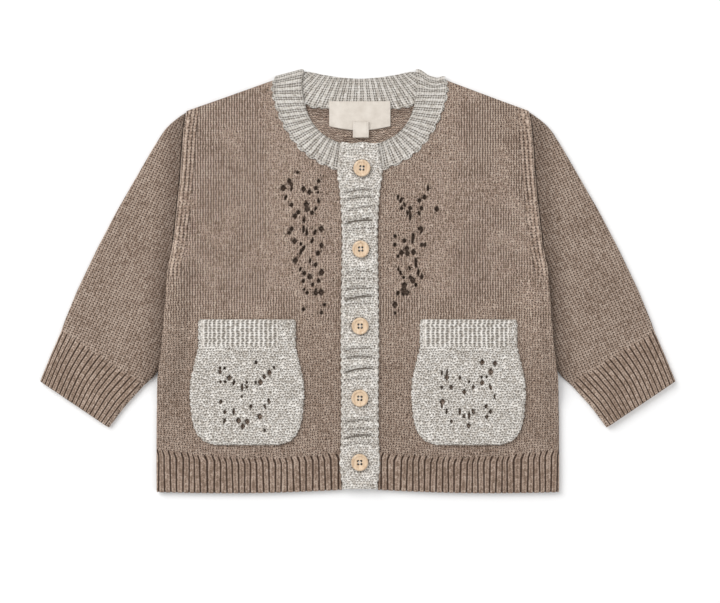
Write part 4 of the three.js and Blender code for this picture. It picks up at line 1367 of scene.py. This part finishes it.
def knit_finish(name, yarn, gaps, knit):
    """Knitting in marled yarn: each stitch has its own tone, and painted shade darkens it between the stitches and
    in the rib grooves.
    """
    # The yarn's first colour is the painted shade that the gaps between stitches, the rib grooves and the shade
    # paint mix towards; the other three are its marl.
    shade_colour, dark, mean, light = yarn
    finish = Finish(name)
    place = finish.add("ShaderNodeTexCoord").outputs["Object"]
    where = finish.add("ShaderNodeUVMap", uv_map="stitch").outputs["UV"]
    ribbed = finish.sum("MINIMUM", finish.painted("ribbed"), 1.0)
    patch = finish.step_up(finish.noise(place, 42.0, 1.0), 0.35, 0.55)
    patch = finish.sum("MULTIPLY", patch, finish.painted("taut"))
    taut = finish.sum("MULTIPLY_ADD", patch, 0.75 * knit["columns"], 0.3 * knit["columns"])
    loose = finish.sum("MULTIPLY", finish.sum("MULTIPLY_ADD", ribbed, -0.85, 1.0),
                       finish.sum("MULTIPLY_ADD", patch, -0.7 * knit["crooked"], knit["crooked"]))
    drift = finish.parts(finish.noise(where, 0.45, 1.0, 0.5, "Color"))
    wale, course = (
        finish.sum("MULTIPLY_ADD", finish.sum("SUBTRACT", sway, 0.5), loose, straight)
        for sway, straight in zip(drift, finish.parts(where))
    )
    gap, row = gaps(finish, wale, course, ribbed, taut)

    groove = finish.step_up(finish.from_middle(finish.painted("rib")), *knit["crest"])
    on_crest = finish.sum("MULTIPLY", ribbed, finish.less(groove))
    gap = finish.sum("MULTIPLY", gap, finish.sum("MULTIPLY_ADD", on_crest, -knit["clear_crest"], 1.0))
    own = finish.add("ShaderNodeCombineXYZ")
    finish.join(finish.sum("FLOOR", finish.sum("MULTIPLY", wale, 2.0)), own.inputs[0])
    finish.join(finish.sum("FLOOR", row), own.inputs[1])
    speck = finish.add("ShaderNodeTexWhiteNoise")
    finish.join(own.outputs[0], speck.inputs["Vector"])
    # The tone also takes a painted highlight on the rib crests, or a darkening where its weight is below zero.
    tone = finish.weighted(
        (speck.outputs["Value"], knit["marl"]),
        (finish.noise(where, 0.7, 3.0, 0.7), 0.8),
        (finish.noise(where, 3.2, 2.0, 0.6), knit["fuzz"]),
        (finish.noise(place, 60.0, 3.0, 0.6), 0.35),
        (on_crest, knit["painted_crest_light"]),
    )
    colour = finish.ramp(tone, [(0.28, dark), (0.5, mean), (0.72, light)])
    # Painted shade: the gaps between stitches darken, more where the piece paints shade, and the shade paint
    # darkens the whole colour too.
    shade = finish.painted("shade")
    deeper = finish.sum("MULTIPLY_ADD", finish.less(shade), 1.2, knit["depth"])
    openness = finish.less(finish.sum("MULTIPLY", gap, deeper))
    openness = finish.sum("MULTIPLY", openness, shade)
    # Painted shade in the rib grooves, set by the piece's ribbed paint and varying a little from row to row.
    painted_groove_shade = finish.sum("MULTIPLY", finish.painted("ribbed"), groove)
    notches = finish.sum("MULTIPLY_ADD", finish.arch(row), 0.3, 0.8)
    painted_groove_shade = finish.sum("MULTIPLY", painted_groove_shade, notches)
    openness = finish.sum(
        "MULTIPLY", openness, finish.sum("MULTIPLY_ADD", painted_groove_shade, -knit["groove"], 1.0)
    )
    finish.join(finish.mixed(openness, shade_colour, colour), finish.surface.inputs["Base Color"])
    normal = finish.bump(finish.less(gap), 0.8)
    normal = finish.bump(finish.noise(place, 2600.0, 2.0, 0.6), 0.25, 0.6, normal)
    finish.join(normal, finish.surface.inputs["Normal"])
    finish.surface.inputs["Roughness"].default_value = 0.92
    finish.surface.inputs["Specular IOR Level"].default_value = 0.25
    finish.surface.inputs["Sheen Weight"].default_value = 0.25
    finish.surface.inputs["Sheen Roughness"].default_value = 0.5
    finish.surface.inputs["Sheen Tint"].default_value = (*light, 1)
    return finish.material


def wood_finish():
    finish = Finish("pale turned wood")
    place = finish.add("ShaderNodeTexCoord").outputs["Object"]
    stretch = finish.add("ShaderNodeMapping")
    stretch.inputs["Scale"].default_value = (1.0, 0.12, 1.0)
    finish.join(place, stretch.inputs["Vector"])
    grain = finish.noise(stretch.outputs[0], 900.0, 4.0, 0.6)
    colour = finish.ramp(grain, [
        (0.3, linear(182, 150, 118)), (0.5, linear(214, 188, 158)), (0.7, linear(230, 208, 182))
    ])
    finish.join(colour, finish.surface.inputs["Base Color"])
    finish.join(finish.bump(grain, 0.05, 0.5), finish.surface.inputs["Normal"])
    finish.surface.inputs["Roughness"].default_value = 0.5
    return finish.material


def bore_shade_finish():
    """Painted shade for the inside of a hole through the wood: near black, standing in for the shade deep in the
    hole.
    """
    finish = Finish("hole wall in painted shade")
    place = finish.add("ShaderNodeTexCoord").outputs["Object"]
    grain = finish.noise(place, 1500.0)
    colour = finish.ramp(grain, [(0.3, linear(22, 15, 10)), (0.7, linear(44, 32, 24))])
    finish.join(colour, finish.surface.inputs["Base Color"])
    finish.surface.inputs["Roughness"].default_value = 0.9
    return finish.material


def thread_finish():
    finish = Finish("white sewing thread")
    place = finish.add("ShaderNodeTexCoord").outputs["Object"]
    ply = finish.noise(place, 2200.0)
    colour = finish.ramp(ply, [(0.3, linear(214, 208, 200)), (0.7, linear(250, 248, 244))])
    finish.join(colour, finish.surface.inputs["Base Color"])
    finish.join(finish.bump(ply, 0.1), finish.surface.inputs["Normal"])
    finish.surface.inputs["Roughness"].default_value = 0.7
    finish.surface.inputs["Sheen Weight"].default_value = 0.3
    return finish.material


def tape_finish():
    finish = Finish("cream woven tape")
    where = finish.add("ShaderNodeUVMap", uv_map="stitch").outputs["UV"]
    parts = finish.add("ShaderNodeSeparateXYZ")
    finish.join(where, parts.inputs[0])
    warp = finish.sum("SINE", finish.sum("MULTIPLY", parts.outputs["X"], 2 * math.pi / 0.45))
    weft = finish.sum("SINE", finish.sum("MULTIPLY", parts.outputs["Y"], 2 * math.pi / 0.45))
    weave = finish.sum("MULTIPLY_ADD", finish.sum("MULTIPLY", warp, weft), 0.5, 0.5)
    place = finish.add("ShaderNodeTexCoord").outputs["Object"]
    patches = finish.noise(place, 160.0, 3.0)
    mixed = finish.sum("ADD", finish.sum("MULTIPLY", weave, 0.3), finish.sum("MULTIPLY", patches, 0.7))
    colour = finish.ramp(mixed, [(0.25, linear(200, 190, 178)), (0.75, linear(232, 224, 214))])
    # The shade paint mixes the tape towards a dark colour, for its stitched lines and the painted shade on its
    # edges.
    colour = finish.mixed(finish.painted("shade"), linear(90, 80, 68), colour)
    finish.join(colour, finish.surface.inputs["Base Color"])
    finish.join(finish.bump(weave, 0.12, 0.8), finish.surface.inputs["Normal"])
    finish.surface.inputs["Roughness"].default_value = 0.85
    finish.surface.inputs["Sheen Weight"].default_value = 0.2
    return finish.material


def floor_finish():
    finish = Finish("white studio floor")
    finish.surface.inputs["Base Color"].default_value = (0.93, 0.93, 0.93, 1)
    finish.surface.inputs["Roughness"].default_value = 0.9
    return finish.material


# Studio
def studio():
    bpy.ops.object.select_all(action="DESELECT")
    bpy.ops.mesh.primitive_plane_add(size=6, location=(0, 0, -0.0002))
    floor = bpy.context.active_object
    floor.name = "studio_floor"
    floor.data.materials.append(floor_finish())
    bpy.ops.object.camera_add(location=(1.5 * MM, -12.6 * MM, 1.156), rotation=(0, 0, 0))
    camera = bpy.context.active_object
    camera.data.sensor_width = 36
    camera.data.lens = 85
    bpy.context.scene.camera = camera
    lamp("Key", (-1.1, 1.0, 1.5), 1.5, 34)
    lamp("Fill", (1.2, -0.6, 1.8), 2.0, 12)
    world = bpy.data.worlds.new("Studio air")
    world.use_nodes = True
    world.node_tree.nodes["Background"].inputs["Color"].default_value = (1, 1, 1, 1)
    world.node_tree.nodes["Background"].inputs["Strength"].default_value = 0.55
    bpy.context.scene.world = world
    bpy.context.scene.view_settings.view_transform = "Standard"


def lamp(name, location, size, power):
    bpy.ops.object.light_add(type="AREA", location=location)
    light = bpy.context.active_object
    light.name = name
    light.data.size = size
    light.data.energy = power
    aim = math.atan2(math.hypot(location[0], location[1]), location[2])
    light.rotation_euler = (aim, 0, math.atan2(location[1], location[0]) + math.pi / 2)


# Each yarn's first colour is painted shade, for the gaps between stitches, the rib grooves and the shaded places.
BROWN_PAINTED_SHADE, BROWN_DARK = linear(60, 43, 33), linear(138, 117, 101)
BROWN, BROWN_LIGHT = linear(176, 154, 138), linear(202, 182, 166)
GREY_PAINTED_SHADE, GREY_DARK = linear(92, 84, 74), linear(184, 176, 166)
GREY, GREY_LIGHT = linear(228, 222, 214), linear(240, 236, 230)
# depth and groove set the painted shade between the stitches and in the rib grooves, clear_crest takes some of it
# off the rib crests, and the crest weight paints a highlight on the crests, or darkens them below zero.
BROWN_KNIT = {
    "depth": 1.08, "marl": 0.35, "fuzz": 0.55, "columns": 0.62, "crooked": 1.9,
    "crest": (0.58, 0.93), "groove": 1.1, "clear_crest": 0.55, "painted_crest_light": -0.13,
}
SLEEVE_KNIT = {**BROWN_KNIT, "columns": 0.5, "crooked": 0.7}
GREY_KNIT = {
    "depth": 0.82, "marl": 0.4, "fuzz": 0.75, "columns": 0.0, "crooked": 2.1,
    "crest": (0.12, 0.36), "groove": 0.14, "clear_crest": 0.6, "painted_crest_light": 0.03,
}


def cardigan():
    brown_yarn = (BROWN_PAINTED_SHADE, BROWN_DARK, BROWN, BROWN_LIGHT)
    grey_yarn = (GREY_PAINTED_SHADE, GREY_DARK, GREY, GREY_LIGHT)
    brown = knit_finish("brown marled knit", brown_yarn, stocking_gaps, BROWN_KNIT)
    sleeve_brown = knit_finish("brown marled sleeve knit", brown_yarn, stocking_gaps, SLEEVE_KNIT)
    brown_inside = knit_finish("brown knit from its inside", brown_yarn, purl_gaps, BROWN_KNIT)
    grey = knit_finish("light grey marled knit", grey_yarn, dotted_gaps, GREY_KNIT)
    behind = back("knitted_back", brown_inside)
    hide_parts("back")
    for side, word in ((-1, "left"), (1, "right")):
        panel = front(f"knitted_front_{word}", side, brown)
        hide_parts(f"front_{word}")
        arm = sleeve(f"knitted_sleeve_{word}", side, sleeve_brown)
        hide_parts(f"sleeve_{word}")
        patch = pocket(f"lace_pocket_{word}", side, grey)
        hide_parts(f"pocket_{word}")
    neck = neck_band("ribbed_neck_band", grey)
    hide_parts("neck_band")
    lower = button_band("under_button_band", grey)
    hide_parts("button_band")
    upper = buttonhole_band("creased_buttonhole_band", grey)
    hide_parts("buttonhole_band")
    linen = tape_finish()
    left = CENTRE_FRONT - 20.8
    name_label = tape("bare_label", left, left + 41.6, 106.2, 123.3, LABEL_Z, 2.8, linen)
    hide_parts("label")
    tab_left = CENTRE_FRONT + 0.7 - 5.4
    tab = tape("bare_size_tab", tab_left, tab_left + 10.8, 98.4, 109.2, LABEL_Z + 1.3, 0, linen)
    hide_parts("size_tab")
    buttons()


cardigan()
studio()
